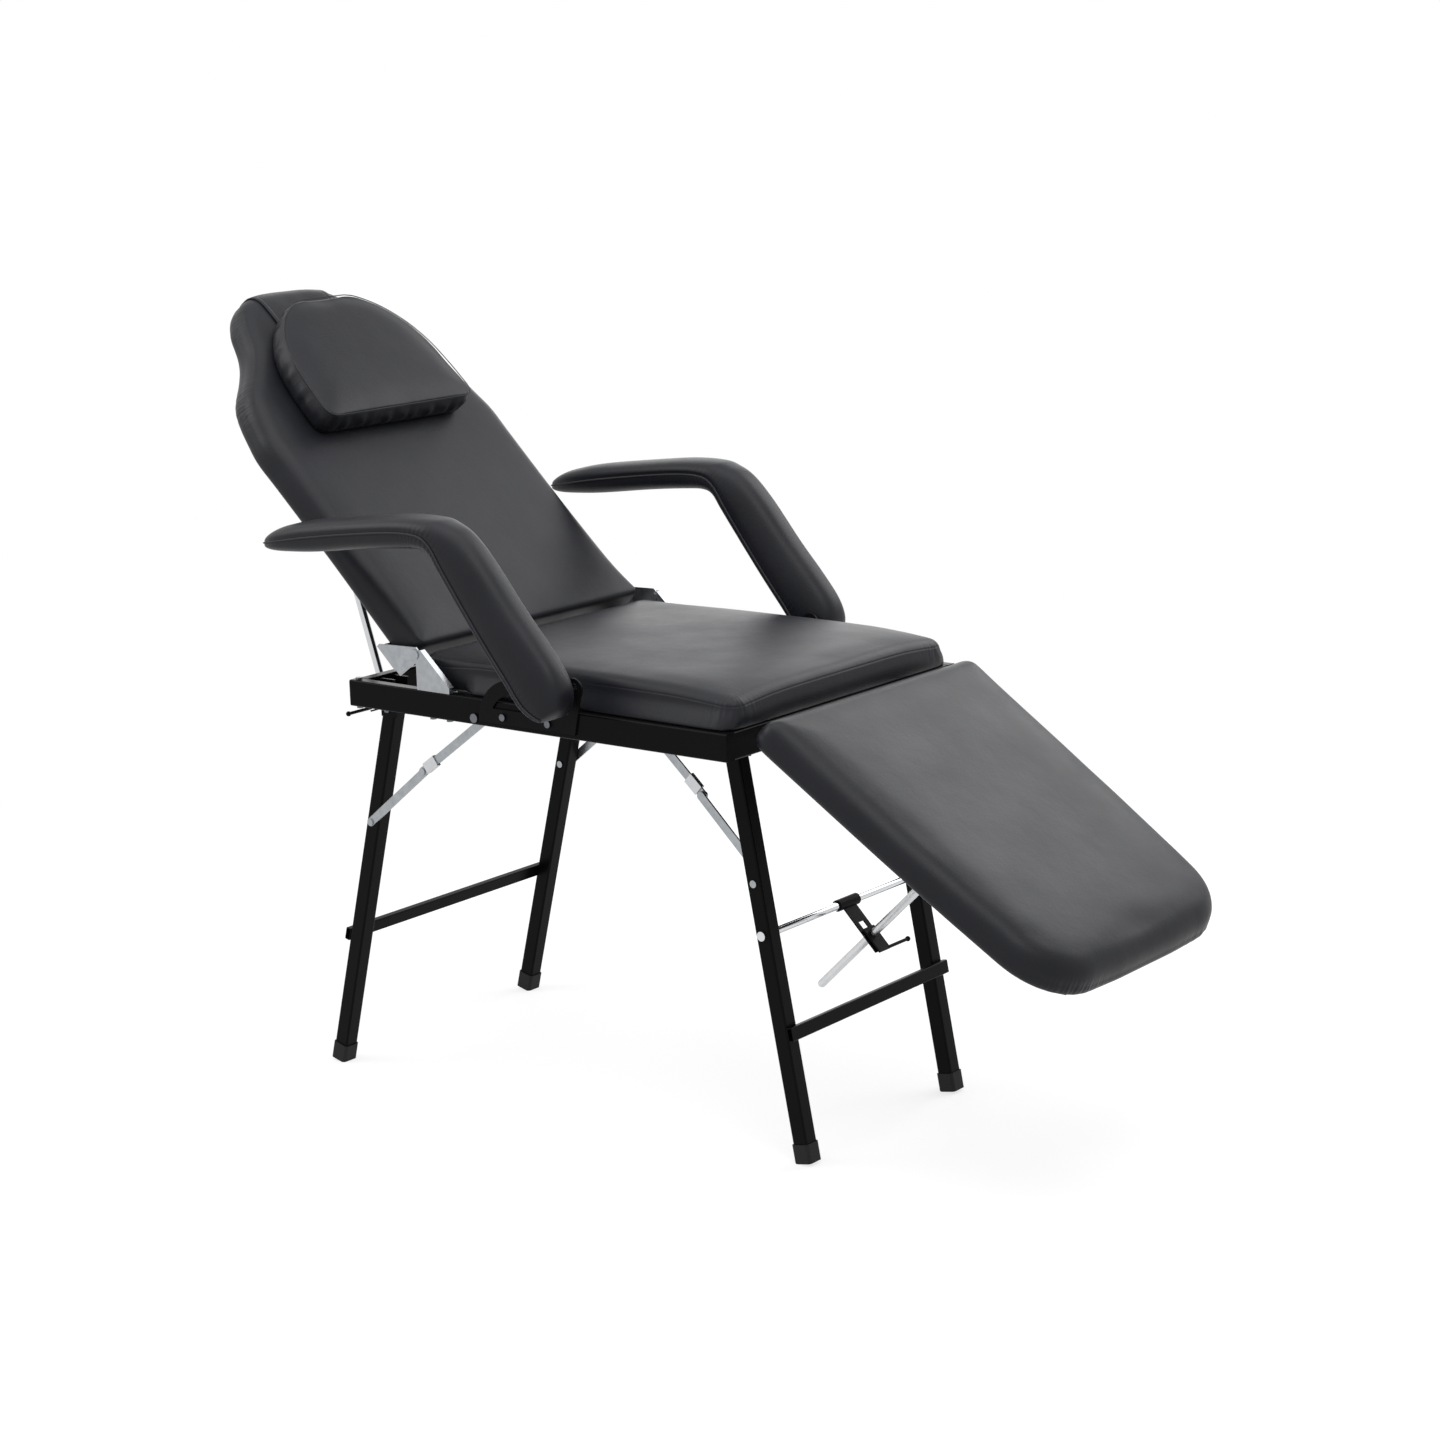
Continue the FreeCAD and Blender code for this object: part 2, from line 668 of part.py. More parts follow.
def make_leg_pair(name, outside, pivot_height, lean, place, stay_foot, bar_along, bar_side):
    """Two legs, their caps and the flat crossbar on one face of them."""
    corner_drop = dim.leg_width / 2 * sine(lean)
    length = (pivot_height - corner_drop - dim.foot_level) / cosine(lean)
    for side, sign in SIDES:
        keep(make_leg(outside, length, place, stay_foot, sign), f"{name}_leg_{side}", place)
    caps = [make_foot_cap(outside, length, place, sign) for _, sign in SIDES]
    keep(group(*caps), f"{name}_foot_caps", place)
    half = dim.leg_width / 2
    low_x = half if bar_side > 0 else -half - dim.crossbar_depth
    corners = rectangle(low_x, -bar_along, low_x + dim.crossbar_depth,
                        -bar_along + dim.crossbar_height)
    bar = slab("XZ_Plane", corners, outside * 2, rounding=dim.crossbar_corner,
               wall=dim.rail_wall)
    keep(put(bar, y=outside), f"{name}_leg_crossbar", place)


# Folding stays: two flat links with a knee rivet, and a sleeve that slides over the knee

def link_body(length, hole_radius, near_y):
    """A flat bar with round ends, from its first pivot along +X, bored there if asked."""
    half = dim.stay_width / 2
    body = doc.addObject("PartDesign::Body", "Link")
    sketch = start_sketch(body, "XZ_Plane")
    ends = ((0, 90, 270), (length, -90, 90))
    for number, (x, start, stop) in enumerate(ends):
        circle = Part.Circle(V(x, 0, 0), V(0, 0, 1), float(half))
        sketch.addGeometry(Part.ArcOfCircle(circle, math.radians(start), math.radians(stop)),
                           False)
        pin_point(sketch, number, 3, (x, 0))
        rule = sketch.addConstraint(Sketcher.Constraint("Radius", number, float(half)))
        sketch.setExpression(f"Constraints[{rule}]", half.text)
    sketch.addGeometry(Part.LineSegment(V(0, -half, 0), V(length, -half, 0)), False)
    sketch.addGeometry(Part.LineSegment(V(length, half, 0), V(0, half, 0)), False)
    for line, line_end, arc, arc_end in ((2, 1, 0, 2), (2, 2, 1, 1), (3, 1, 1, 2), (3, 2, 0, 1)):
        sketch.addConstraint(Sketcher.Constraint("Tangent", line, line_end, arc, arc_end))
    pad = body.newObject("PartDesign::Pad", "Bar")
    pad.Profile = sketch
    bind(pad, "Length", dim.stay_thickness)
    doc.recompute()
    if hole_radius is not None:
        take_away(body, "XZ_Plane", draw_circles, [(0, 0, hole_radius)])
    return put(body, y=near_y + dim.stay_thickness)


def distance(near, far):
    return math.hypot(far[0] - near[0], far[1] - near[1])


def link_place(near, far):
    """The place of a link that runs from one point of the side view to another."""
    slope = math.degrees(math.atan2(far[1] - near[1], far[0] - near[0]))
    return frame_at(near[0], near[1], -slope)


def across_bar(sign, x, z, *spans):
    """Round steps on one crosswise axis: each a radius and two distances from the middle."""
    return [round_bar(radius, far - near, V(0, 1, 0), x, near if sign > 0 else -far, z)
            for radius, near, far in spans]


def make_stay(name, sign, top, knee, foot, layers):
    """The two links and the sleeve of one stay.

    Layers gives, from the middle plane: the low faces of the lower link, the upper link, the
    knee rivet's head and its washer, and the two ends of the rivet through the leg.
    """
    thick = dim.stay_thickness
    lower_low, upper_low, head_low, washer_low, pin_low, pin_high = layers
    head, wide = dim.rivet_head_height, dim.rivet_head_radius
    upper_length, lower_length = distance(top, knee), distance(foot, knee)
    upper_y = upper_low if sign > 0 else -upper_low - thick
    lower_y = lower_low if sign > 0 else -lower_low - thick
    upper = link_body(upper_length, dim.rivet_radius + dim.rivet_clearance, upper_y)
    washer = dim.knee_gap - dim.stay_gap
    knee_head = across_bar(sign, upper_length, 0, (wide, head_low, head_low + head),
                           (wide, washer_low, washer_low + washer))
    keep(fused(upper, *knee_head), f"{name}_stay_upper", link_place(top, knee))
    lower = link_body(lower_length, None, lower_y)
    pin = across_bar(sign, 0, 0, (dim.rivet_radius, pin_low, pin_high),
                     (wide, pin_low - head, pin_low), (wide, pin_high, pin_high + head))
    keep(fused(lower, *pin), f"{name}_stay_lower", link_place(foot, knee))
    make_sleeve(name, top, knee, upper_length, upper_y)


def make_sleeve(name, top, knee, upper_length, upper_y):
    """A folded sleeve round the upper link, just above the knee."""
    room, wall = dim.sleeve_clearance, dim.sleeve_wall
    start = upper_length - dim.sleeve_from_knee - dim.sleeve_length
    half = dim.stay_width / 2 + room
    outer = block(dim.sleeve_length, dim.stay_thickness + (room + wall) * 2,
                  (half + wall) * 2, start, upper_y - room - wall, -half - wall)
    inner = block(dim.sleeve_length + dim.overrun * 2, dim.stay_thickness + room * 2, half * 2,
                  start - dim.overrun, upper_y - room, -half)
    keep(cut(outer, inner), f"{name}_stay_sleeve", link_place(top, knee))


def make_stays():
    thick, gap = dim.stay_thickness, dim.stay_gap
    rear_lower = dim.rear_leg_outside + gap
    rear_upper = rear_lower + thick + dim.knee_gap
    front_lower = front_leg_inside - gap - thick
    front_upper = front_lower - dim.knee_gap - thick
    rear = ((dim.rear_stay_top_x, dim.rear_stay_top_height),
            (dim.rear_stay_knee_x, dim.rear_stay_knee_height),
            (dim.rear_stay_foot_x, dim.rear_stay_foot_height))
    front = ((dim.front_stay_top_x, dim.front_stay_top_height),
             (dim.front_stay_knee_x, dim.front_stay_knee_height),
             (dim.front_stay_foot_x, dim.front_stay_foot_height))
    head = dim.rivet_head_height
    rear_layers = (rear_lower, rear_upper, rear_upper + thick, rear_lower + thick + gap,
                   rear_leg_inside, rear_lower + thick)
    front_layers = (front_lower, front_upper, front_upper - head, front_upper + thick,
                    front_lower, dim.front_leg_outside)
    for side, sign in SIDES:
        make_stay(f"rear_{side}", sign, *rear, rear_layers)
        make_stay(f"front_{side}", sign, *front, front_layers)


# Backrest hinges: a fixed and a moving sheet metal plate on each side, joined by a rivet

def make_fixed_hinge_plates():
    thick, flange = dim.hinge_sheet, dim.hinge_flange_width
    x, z = dim.back_pivot_x, dim.back_pivot_height
    lobe, nose = dim.hinge_lobe, dim.fixed_plate_nose
    back, shoulder = x + dim.fixed_plate_setback, x + lobe + dim.fixed_plate_shoulder
    outline = [(back, rail_top), (dim.fixed_plate_front_x, rail_top),
               (dim.fixed_plate_front_x, rail_top + nose), (shoulder, z + lobe),
               (x - lobe, z + lobe), (x - lobe, z - lobe), (back, z - lobe * 2)]
    for side, sign in SIDES:
        face = -dim.frame_half_width if sign < 0 else dim.frame_half_width - thick
        hole = (x, z, dim.hinge_rivet_radius + dim.rod_pin_clearance)
        web = put(slab("XZ_Plane", outline, thick, holes=[hole]), y=face + thick)
        flange_y = -dim.frame_half_width if sign < 0 else dim.frame_half_width - flange
        foot = block(dim.fixed_plate_front_x - back, flange, thick, back, flange_y, rail_top)
        holes = [round_bar(dim.hinge_bolt_radius, thick * 3, V(0, 0, 1), bolt_x,
                           (dim.frame_half_width - dim.rail_width / 2) * sign, rail_top - thick)
                 for bolt_x in (dim.hinge_bolt_rear_x, dim.hinge_bolt_front_x)]
        lip = make_hinge_lip(shoulder, z + lobe, sign)
        keep(cut(fused(web, foot, lip), *holes), f"hinge_plate_fixed_{side}", ON_FRAME)


def make_hinge_lip(high_x, high_z, sign):
    """The narrow strip bent inwards along the sloping front edge of a fixed plate."""
    thick, width = dim.hinge_sheet, dim.hinge_lip_width
    low_x, low_z = dim.fixed_plate_front_x, rail_top + dim.fixed_plate_nose
    span = distance((high_x, high_z), (low_x, low_z))
    slope = math.degrees(math.atan2(high_z - low_z, low_x - high_x))
    strip = doc.addObject("Part::Box", "Lip")
    strip.Length = span
    bind(strip, "Width", width)
    bind(strip, "Height", thick)
    low_y = -dim.frame_half_width if sign < 0 else dim.frame_half_width - width
    turn = FreeCAD.Rotation(V(0, 1, 0), slope)
    strip.Placement = FreeCAD.Placement(V(high_x, low_y, high_z) + turn.multVec(V(0, 0, -thick)),
                                        turn)
    return strip


def make_moving_hinge_plates():
    """Drawn with the backrest lying flat, the pivot at the origin and the rest towards -X."""
    thick, gap = dim.hinge_sheet, dim.hinge_gap
    under, lobe, run = dim.pad_thickness, dim.hinge_lobe, dim.moving_plate_length
    outline = [(-run, -under), (0, -under), (lobe, -lobe), (lobe, lobe), (-lobe, lobe),
               (-run, -under + dim.moving_plate_tail)]
    for side, sign in SIDES:
        high = dim.frame_half_width - dim.hinge_sheet - gap
        face = -high if sign < 0 else high - thick
        web = put(slab("XZ_Plane", outline, thick), y=face + thick)
        flange = dim.moving_flange_width
        flange_y = -high if sign < 0 else high - flange
        foot = block(run - dim.moving_flange_setback, flange, thick, -run, flange_y,
                     -under - thick)
        radius, head = dim.hinge_rivet_radius, dim.rivet_head_height
        low_y = -dim.frame_half_width - head if sign < 0 else high - thick - head
        span = thick * 2 + gap + head * 2
        pin = round_bar(radius, span, V(0, 1, 0), 0, low_y, 0)
        dome_y = -dim.frame_half_width - head if sign < 0 else dim.frame_half_width
        dome = round_bar(dim.hinge_rivet_head, head, V(0, 1, 0), 0, dome_y, 0)
        keep(fused(web, foot, pin, dome), f"hinge_plate_moving_{side}", ON_BACKREST)


# Cushions: lofts through cross sections made of lines and arcs

def section(origin, up, half_width, height, crown, bulge, radius):
    """A cushion's cross section: flat below, drawn in at the sides, crowned on top."""
    side = V(0, 1, 0)

    def at(across, above):
        return origin + side * across + up * above

    def arc(a, b, c):
        return Part.Arc(at(*a), at(*b), at(*c)).toShape()

    foot, shoulder = half_width - bulge, half_width - bulge
    rise = height - radius
    part = radius * (1 - math.sqrt(0.5))
    flat = shoulder - radius
    edges = [
        Part.makeLine(at(-foot, 0), at(foot, 0)),
        arc((foot, 0), (half_width, rise / 2), (shoulder, rise)),
        arc((shoulder, rise), (shoulder - part, height - part), (flat, height)),
        arc((flat, height), (0, height + crown), (-flat, height)),
        arc((-flat, height), (-shoulder + part, height - part), (-shoulder, rise)),
        arc((-shoulder, rise), (-half_width, rise / 2), (-foot, 0)),
    ]
    return Part.Wire(edges)


def flat_section(origin, up, half_width, height):
    """A board's rectangular cross section."""
    side = V(0, 1, 0)
    corners = [origin - side * half_width, origin + side * half_width,
               origin + side * half_width + up * height, origin - side * half_width + up * height]
    return Part.makePolygon(corners + corners[:1])


def loft(sections):
    """A solid through the sections, ruled from each to the next."""
    shape = Part.makeLoft(sections, True, True)
    return shape if shape.Volume > 0 else shape.reversed()


# Steps round a cushion's end edge, and how strongly its sides draw in with them
END_SHARES = (0.0, 0.12, 0.45, 1.0)
SIDE_DRAW_SHARE = 0.6
CROWN_FULLNESS = 0.6


def end_steps(radius):
    """Steps into a rounded end: how far along, and how far the outline is drawn in."""
    return [(radius * share, radius * (1 - math.sqrt(1 - (1 - share) ** 2)))
            for share in END_SHARES]


def make_cushion(name, stations, place, direction, crown, start_radius, end_radius):
    """A padded cover and the board let into its underside.

    Stations are (along, half width) pairs; along runs in the given X direction from the pivot.
    """
    up = V(0, 0, 1)
    low = V(0, 0, stations["low"])
    outline = stations["outline"]
    first, last = outline[0][0], outline[-1][0]
    gap, thick = dim.soft_gap, dim.pad_thickness
    rows = []
    for along, half in outline:
        rows.append((along, half, 0.0))
    begin = [(first + step, half_at(outline, first + step), draw)
             for step, draw in end_steps(start_radius)]
    finish = [(last - step, half_at(outline, last - step), draw)
              for step, draw in end_steps(end_radius)][::-1]
    inner = [row for row in rows
             if begin[-1][0] + dim.station_gap < row[0] < finish[0][0] - dim.station_gap]
    wires = []
    for along, half, draw in begin + inner + finish:
        share = (along - first) / (last - first)
        rise = crown * math.sin(math.pi * share) ** CROWN_FULLNESS if 0 < share < 1 else 0
        origin = V(direction * along, 0, 0) + low + up * gap
        wires.append(section(origin, up, half - draw * SIDE_DRAW_SHARE, thick - gap - draw,
                             rise + dim.least_crown, dim.pad_side_bulge, dim.pad_top_radius))
    pad = loft(wires)
    inset, board_high = dim.board_inset, dim.board_thickness
    flat = [(along, half_at(outline, along) - inset)
            for along in board_stations(outline, first + inset, last - inset)]
    board = loft([flat_section(V(direction * along, 0, 0) + low, up, half, board_high)
                  for along, half in flat])
    keep_shape(pad.cut(board), f"{name}_pad", place)
    keep_shape(board, f"{name}_board", place)


def half_at(outline, along):
    """The half width of an outline at a place along it."""
    for (near, near_half), (far, far_half) in zip(outline, outline[1:]):
        if near <= along <= far:
            share = (along - near) / (far - near)
            return near_half + (far_half - near_half) * share
    return outline[-1][1]


def board_stations(outline, first, last):
    """The outline's own places between two limits, with the limits themselves."""
    inner = [along for along, _ in outline
             if first + dim.station_gap < along < last - dim.station_gap]
    return [first] + inner + [last]


def make_seat():
    half = dim.pad_half_width
    rear, front = dim.seat_rear_x, dim.seat_front_x
    outline = [(rear + (front - rear) * share, half - dim.pad_side_bulge * pull)
               for share, pull in SEAT_PULL_SHARES]
    make_cushion("seat", {"low": rail_top, "outline": outline}, ON_FRAME, 1, dim.pad_crown,
                 dim.pad_end_radius, dim.pad_end_radius)


# Along the seat, and how much of the side bulge the waist is drawn in there
SEAT_PULL_SHARES = ((0.0, 0.5), (0.06, 0.0), (0.25, 0.4), (0.5, 0.8), (0.75, 0.4), (0.94, 0.0),
                    (1.0, 0.5))

# Along the backrest from its pivot, and its half width, both as shares of their largest
BACK_OUTLINE_SHARES = ((0.029, 0.965), (0.055, 1.0), (0.3, 0.99), (0.5, 0.995), (0.58, 1.0),
                       (0.63, 0.973), (0.67, 0.945), (0.705, 0.91), (0.73, 0.87),
                       (0.755, 0.81), (0.775, 0.755), (0.795, 0.703), (0.825, 0.635),
                       (0.855, 0.584), (0.885, 0.55), (0.915, 0.52), (0.94, 0.478),
                       (0.96, 0.435), (0.978, 0.375), (0.99, 0.315), (1.0, 0.225))


def make_backrest():
    length, half = dim.back_length, dim.pad_half_width
    outline = [(length * along, half * across) for along, across in BACK_OUTLINE_SHARES]
    make_cushion("backrest", {"low": -dim.pad_thickness, "outline": outline}, ON_BACKREST, -1,
                 0, dim.pad_end_radius, dim.pad_end_radius)


# Along the leg rest's straight sides, how much of the side bulge they are drawn in, and the
# steps round its front corners
LEG_REST_PULL_SHARES = ((0.0, 1.0), (0.1, 0.0), (0.5, 0.5), (0.8, 1.6))
LEG_REST_CORNER_DEGREES = (0, 15, 30, 45, 58, 70, 80, 86)


def make_leg_rest():
    start, end, half = dim.leg_rest_start, dim.leg_rest_end, dim.pad_half_width
    tip, corner = dim.leg_rest_tip_half_width, dim.leg_rest_corner
    turn = end - corner
    outline = [(start + (turn - start) * share, half - dim.pad_side_bulge * pull)
               for share, pull in LEG_REST_PULL_SHARES]
    for degrees in LEG_REST_CORNER_DEGREES:
        angle = math.radians(degrees)
        outline.append((turn + corner * math.sin(angle),
                        tip - corner + corner * math.cos(angle)))
    make_cushion("leg_rest", {"low": dim.leg_rest_drop, "outline": outline}, ON_LEG_REST, 1, 0,
                 dim.leg_rest_roll, dim.pad_end_radius)


# Head pillow and the strap that holds it, lying on the backrest

PILLOW_OUTLINE_SHARES = ((0.0, 0.95), (0.06, 1.0), (0.3, 0.99), (0.5, 0.945), (0.66, 0.865),
                         (0.78, 0.76), (0.88, 0.625), (0.95, 0.48), (1.0, 0.33))
PILLOW_DRAW_SHARE = 0.7


def make_pillow():
    bottom, length, half = dim.pillow_bottom_along, dim.pillow_length, dim.pillow_half_width
    outline = [(bottom + length * along, half * across)
               for along, across in PILLOW_OUTLINE_SHARES]
    above = dim.strap_thickness + dim.soft_gap * 2 + dim.least_crown
    wires = []
    last = len(outline) - 1
    radius = dim.pillow_corner
    for number, (along, across) in enumerate(outline):
        draw = radius * PILLOW_DRAW_SHARE if number in (0, last) else 0
        rise = dim.pad_crown * math.sin(math.pi * number / last)
        wires.append(section(V(-along, 0, above), V(0, 0, 1), across - draw,
                             dim.pillow_thickness - draw, rise + dim.least_crown,
                             dim.pad_side_bulge, radius))
    keep_shape(loft(wires), "head_pillow", ON_BACKREST)


# Straight steps of the strap round the head end
STRAP_STEPS = 4


def make_strap():
    """A flat strap from under the pillow, over the head end and down behind the backrest."""
    half, thick, gap = dim.strap_half_width, dim.strap_thickness, dim.soft_gap
    radius = dim.pad_end_radius
    above, below = dim.least_crown, -dim.pad_thickness - gap
    centre = V(-dim.back_length + radius, 0, above - radius)
    step = 90 / STRAP_STEPS
    lines = []
    for reach in (radius + gap, radius + gap + thick):
        wide = reach / math.cos(math.radians(step / 2))
        line = [(-dim.strap_front_along, centre.z + reach)]
        for number in range(STRAP_STEPS):
            angle = math.radians(90 + step * (number + 0.5))
            line.append((centre.x + wide * math.cos(angle), centre.z + wide * math.sin(angle)))
        lines.append(line)
    inner, outer = lines
    end = -dim.back_length - gap
    inner += [(end, below), (-dim.strap_back_along, below)]
    outer += [(end - thick, below), (end, below - thick), (-dim.strap_back_along, below - thick)]
    corners = [V(x, half, z) for x, z in inner + outer[::-1]]
    face = Part.Face(Part.makePolygon(corners + corners[:1]))
    keep_shape(face.extrude(V(0, -half * 2, 0)), "pillow_strap", ON_BACKREST)


# Leg rest hinges: fixed leaves on the front cross bar, moving leaves under the leg rest

def barrel(start_y, length, radius, bore=None):
    """A hinge knuckle along the crosswise axis."""
    tube = round_bar(radius, length, V(0, 1, 0), 0, start_y, 0)
    if bore is None:
        return tube
    return cut(tube, round_bar(bore, length + dim.overrun * 2, V(0, 1, 0), 0,
                               start_y - dim.overrun, 0))


def make_leg_rest_hinges():
    """Two butt hinges; the pin turns with the fixed knuckles."""
    long, gap, leaf = dim.hinge_barrel_length, dim.stay_gap, dim.hinge_leaf
    radius, pin = dim.hinge_barrel_radius, dim.hinge_pin_radius
    fixed, moving = [], []
    for _, sign in SIDES:
        middle = dim.hinge_side_place * sign
        start = middle - long * 1.5
        back = dim.leg_rest_hinge_x - dim.rail_length
        knuckles = [barrel(start, long - gap, radius), barrel(start + long * 2 + gap,
                                                              long - gap, radius)]
        plate = block(leaf, long * 3, dim.hinge_leaf_height, -back, start,
                      -dim.hinge_leaf_height / 2)
        clear = block(radius * 4, long + gap * 2, radius * 4, -radius - gap, start + long - gap,
                      -radius * 2)
        pin_bar = round_bar(pin, long * 3, V(0, 1, 0), 0, start, 0)
        webs = [block(back, long - gap, leaf, -back, low_y, -leaf / 2)
                for low_y in (start, start + long * 2 + gap)]
        fixed.append(fused(cut(fused(plate, *knuckles, *webs), clear), pin_bar))
        drop = dim.leg_rest_drop
        tongue = block(leaf, long, drop - leaf, radius - leaf, start + long, 0)
        arm = block(dim.hinge_leaf_length, long * 3, leaf, dim.leg_rest_start + gap, start,
                    drop - leaf)
        reach = block(dim.leg_rest_start, long, leaf, radius - leaf, start + long, drop - leaf)
        knuckle = barrel(start + long, long, radius)
        bore = round_bar(pin + dim.hinge_pin_clearance, long * 3 + dim.overrun * 2, V(0, 1, 0),
                         0, start - dim.overrun, 0)
        moving.append(cut(fused(knuckle, tongue, reach, arm), bore))
    place = frame_at(dim.leg_rest_hinge_x, dim.leg_rest_hinge_height)
    keep(group(*fixed), "leg_rest_hinges_fixed", place)
    keep(group(*moving), "leg_rest_hinges_moving", ON_LEG_REST)


# Props: a chrome rod that slides through a clamp and is jammed by a tilting plate

def prop_geometry(bar, pin):
    """Where the rod passes its clamp: its direction, the hole and the distance to it."""
    across, up = pin[0] - bar[0], pin[1] - bar[1]
    far = math.hypot(across, up)
    along = math.sqrt(far ** 2 - dim.prop_reach ** 2)
    tilt = math.degrees(math.atan2(up, across))
    return tilt, math.degrees(math.asin(dim.prop_reach / far)), along


def make_rod(name, y, pin, rod_slope, length):
    """The rod, drawn from its upper pin along +X to its rounded free end."""
    radius, eye = dim.prop_rod_radius, dim.rod_eye_radius
    bar = round_bar(radius, length - radius, V(1, 0, 0), 0, y, 0)
    tip = doc.addObject("Part::Sphere", "Tip")
    bind(tip, "Radius", radius)
    put(tip, length - radius, y, 0)
    knob = round_bar(eye, dim.rod_eye_width, V(0, 1, 0), 0, y - dim.rod_eye_width / 2, 0)
    bore = round_bar(dim.rod_pin_radius + dim.rod_pin_clearance,
                     dim.rod_eye_width + dim.overrun * 2, V(0, 1, 0), 0,
                     y - dim.rod_eye_width / 2 - dim.overrun, 0)
    keep(cut(fused(bar, tip, knob), bore), f"{name}_rod", frame_at(*pin, 180 - rod_slope))


def make_clamp(name, y, bar, strip_slope):
    """A rolled sleeve on the bar with a strip that is slotted for the rod."""
    free = dim.prop_bar_radius + dim.clamp_clearance
    outer, wide = free + dim.clamp_wall, dim.clamp_strip_width
    long = dim.clamp_length
    roll = round_bar(outer, long, V(0, 1, 0), 0, y - long / 2, 0)
    thick = dim.clamp_wall
    strip = block(dim.clamp_strip_length - outer, wide, thick, outer - thick, y - wide / 2,
                  -thick / 2)
    bore = round_bar(free, long + dim.overrun * 2, V(0, 1, 0), 0, y - long / 2 - dim.overrun, 0)
    slot_half = dim.prop_rod_radius + dim.clamp_slot_clearance
    slot_from = dim.prop_reach - dim.clamp_slot_before
    slot = block(dim.clamp_strip_length, slot_half * 2, thick * 3, slot_from, y - slot_half,
                 -thick * 1.5)
    keep(cut(fused(roll, strip), bore, slot), f"{name}_clamp",
         frame_at(*bar, -strip_slope))


# The handle's end ball against its wire
KNOB_SHARE = 1.6


def make_jam_lever(name, y, bar, strip_slope, side, hand):
    """A plate on the rod beside the clamp, with a wire handle to release it."""
    thick, wide = dim.jam_plate, dim.jam_width
    low = (dim.clamp_wall / 2 + dim.jam_gap) if side > 0 else \
        -(dim.clamp_wall / 2 + dim.jam_gap) - thick
    above, below = dim.jam_above, dim.jam_below
    reach = dim.prop_reach
    plate = block(above + below, wide, thick, reach - above, y - wide / 2, low)
    hole = round_bar(dim.prop_rod_radius + dim.clamp_slot_clearance, thick * 3, V(0, 0, 1),
                     reach, y, low - thick)
    wire = dim.handle_radius
    long = dim.handle_length
    start = y + wide / 2 - wire if hand > 0 else y - wide / 2 + wire - long
    handle = round_bar(wire, long, V(0, 1, 0), reach + below - wire, start, low + thick / 2)
    end_y = start + long if hand > 0 else start
    knob = doc.addObject("Part::Sphere", "Knob")
    bind(knob, "Radius", wire * KNOB_SHARE)
    put(knob, reach + below - wire, end_y, low + thick / 2)
    keep(fused(cut(plate, hole), handle, knob), f"{name}_jam_lever",
         frame_at(*bar, -strip_slope))


def make_pin_fork(name, y, place, pin, under):
    """A folded bracket under a board, with two cheeks and the rod's upper pin."""
    x, z = into(place, *pin)
    sheet_thick = dim.fork_sheet
    inner = dim.rod_eye_width / 2 + dim.fork_gap
    foot_x = x - dim.fork_foot_length / 2
    foot = doc.addObject("Part::Box", "Foot")
    for prop, number in (("Length", dim.fork_foot_length), ("Width", dim.fork_foot_width),
                         ("Height", sheet_thick)):
        bind(foot, prop, number)
    foot.Placement.Base = V(foot_x, y - dim.fork_foot_width / 2, under - sheet_thick)
    parts = [foot]
    drop = under - sheet_thick - z
    for low_y in (y + inner, y - inner - sheet_thick):
        web = doc.addObject("Part::Box", "Cheek")
        bind(web, "Length", dim.fork_cheek_width)
        bind(web, "Width", sheet_thick)
        web.Height = drop
        web.Placement.Base = V(x - dim.fork_cheek_width / 2, low_y, z)
        nose = doc.addObject("Part::Cylinder", "Nose")
        bind(nose, "Radius", dim.fork_cheek_width / 2)
        bind(nose, "Height", sheet_thick)
        nose.Placement = FreeCAD.Placement(V(x, low_y, z), FreeCAD.Rotation(V(0, 0, 1),
                                                                            V(0, 1, 0)))
        parts += [web, nose]
    pin_bar = doc.addObject("Part::Cylinder", "Pin")
    bind(pin_bar, "Radius", dim.rod_pin_radius)
    head = dim.rivet_head_height
    pin_bar.Height = inner * 2 + sheet_thick * 2 + head * 2
    pin_bar.Placement = FreeCAD.Placement(V(x, y - inner - sheet_thick - head, z),
                                          FreeCAD.Rotation(V(0, 0, 1), V(0, 1, 0)))
    keep(fused(*parts, pin_bar), f"{name}_prop_fork", place)


def make_props():
    leg_bar = (dim.leg_prop_bar_x, dim.leg_prop_bar_height)
    leg_pin = (dim.leg_prop_pin_x, dim.leg_prop_pin_height)
    tilt, spread, _ = prop_geometry(leg_bar, leg_pin)
    slope = tilt + spread
    make_rod("leg_rest", dim.leg_prop_y, leg_pin, slope, dim.leg_prop_rod_length)
    make_clamp("leg_rest", dim.leg_prop_y, leg_bar, slope - 90)
    make_jam_lever("leg_rest", dim.leg_prop_y, leg_bar, slope - 90, 1, 1)
    make_pin_fork("leg_rest", dim.leg_prop_y, ON_LEG_REST, leg_pin, dim.leg_rest_drop)

    back_bar = (dim.back_prop_bar_x, dim.back_prop_bar_height)
    lean = math.radians(dim.recline)
    along, deep = dim.back_prop_pin_along, dim.back_prop_pin_depth
    back_pin = (dim.back_pivot_x - along * math.cos(lean) - deep * math.sin(lean),
                dim.back_pivot_height + along * math.sin(lean) - deep * math.cos(lean))
    tilt, spread, _ = prop_geometry(back_bar, back_pin)
    slope = tilt - spread
    make_rod("backrest", dim.back_prop_y, back_pin, slope, dim.back_prop_rod_length)
    make_clamp("backrest", dim.back_prop_y, back_bar, slope + 90)
    make_jam_lever("backrest", dim.back_prop_y, back_bar, slope + 90, -1, -1)
    make_pin_fork("backrest", dim.back_prop_y, ON_BACKREST, back_pin, -dim.pad_thickness)


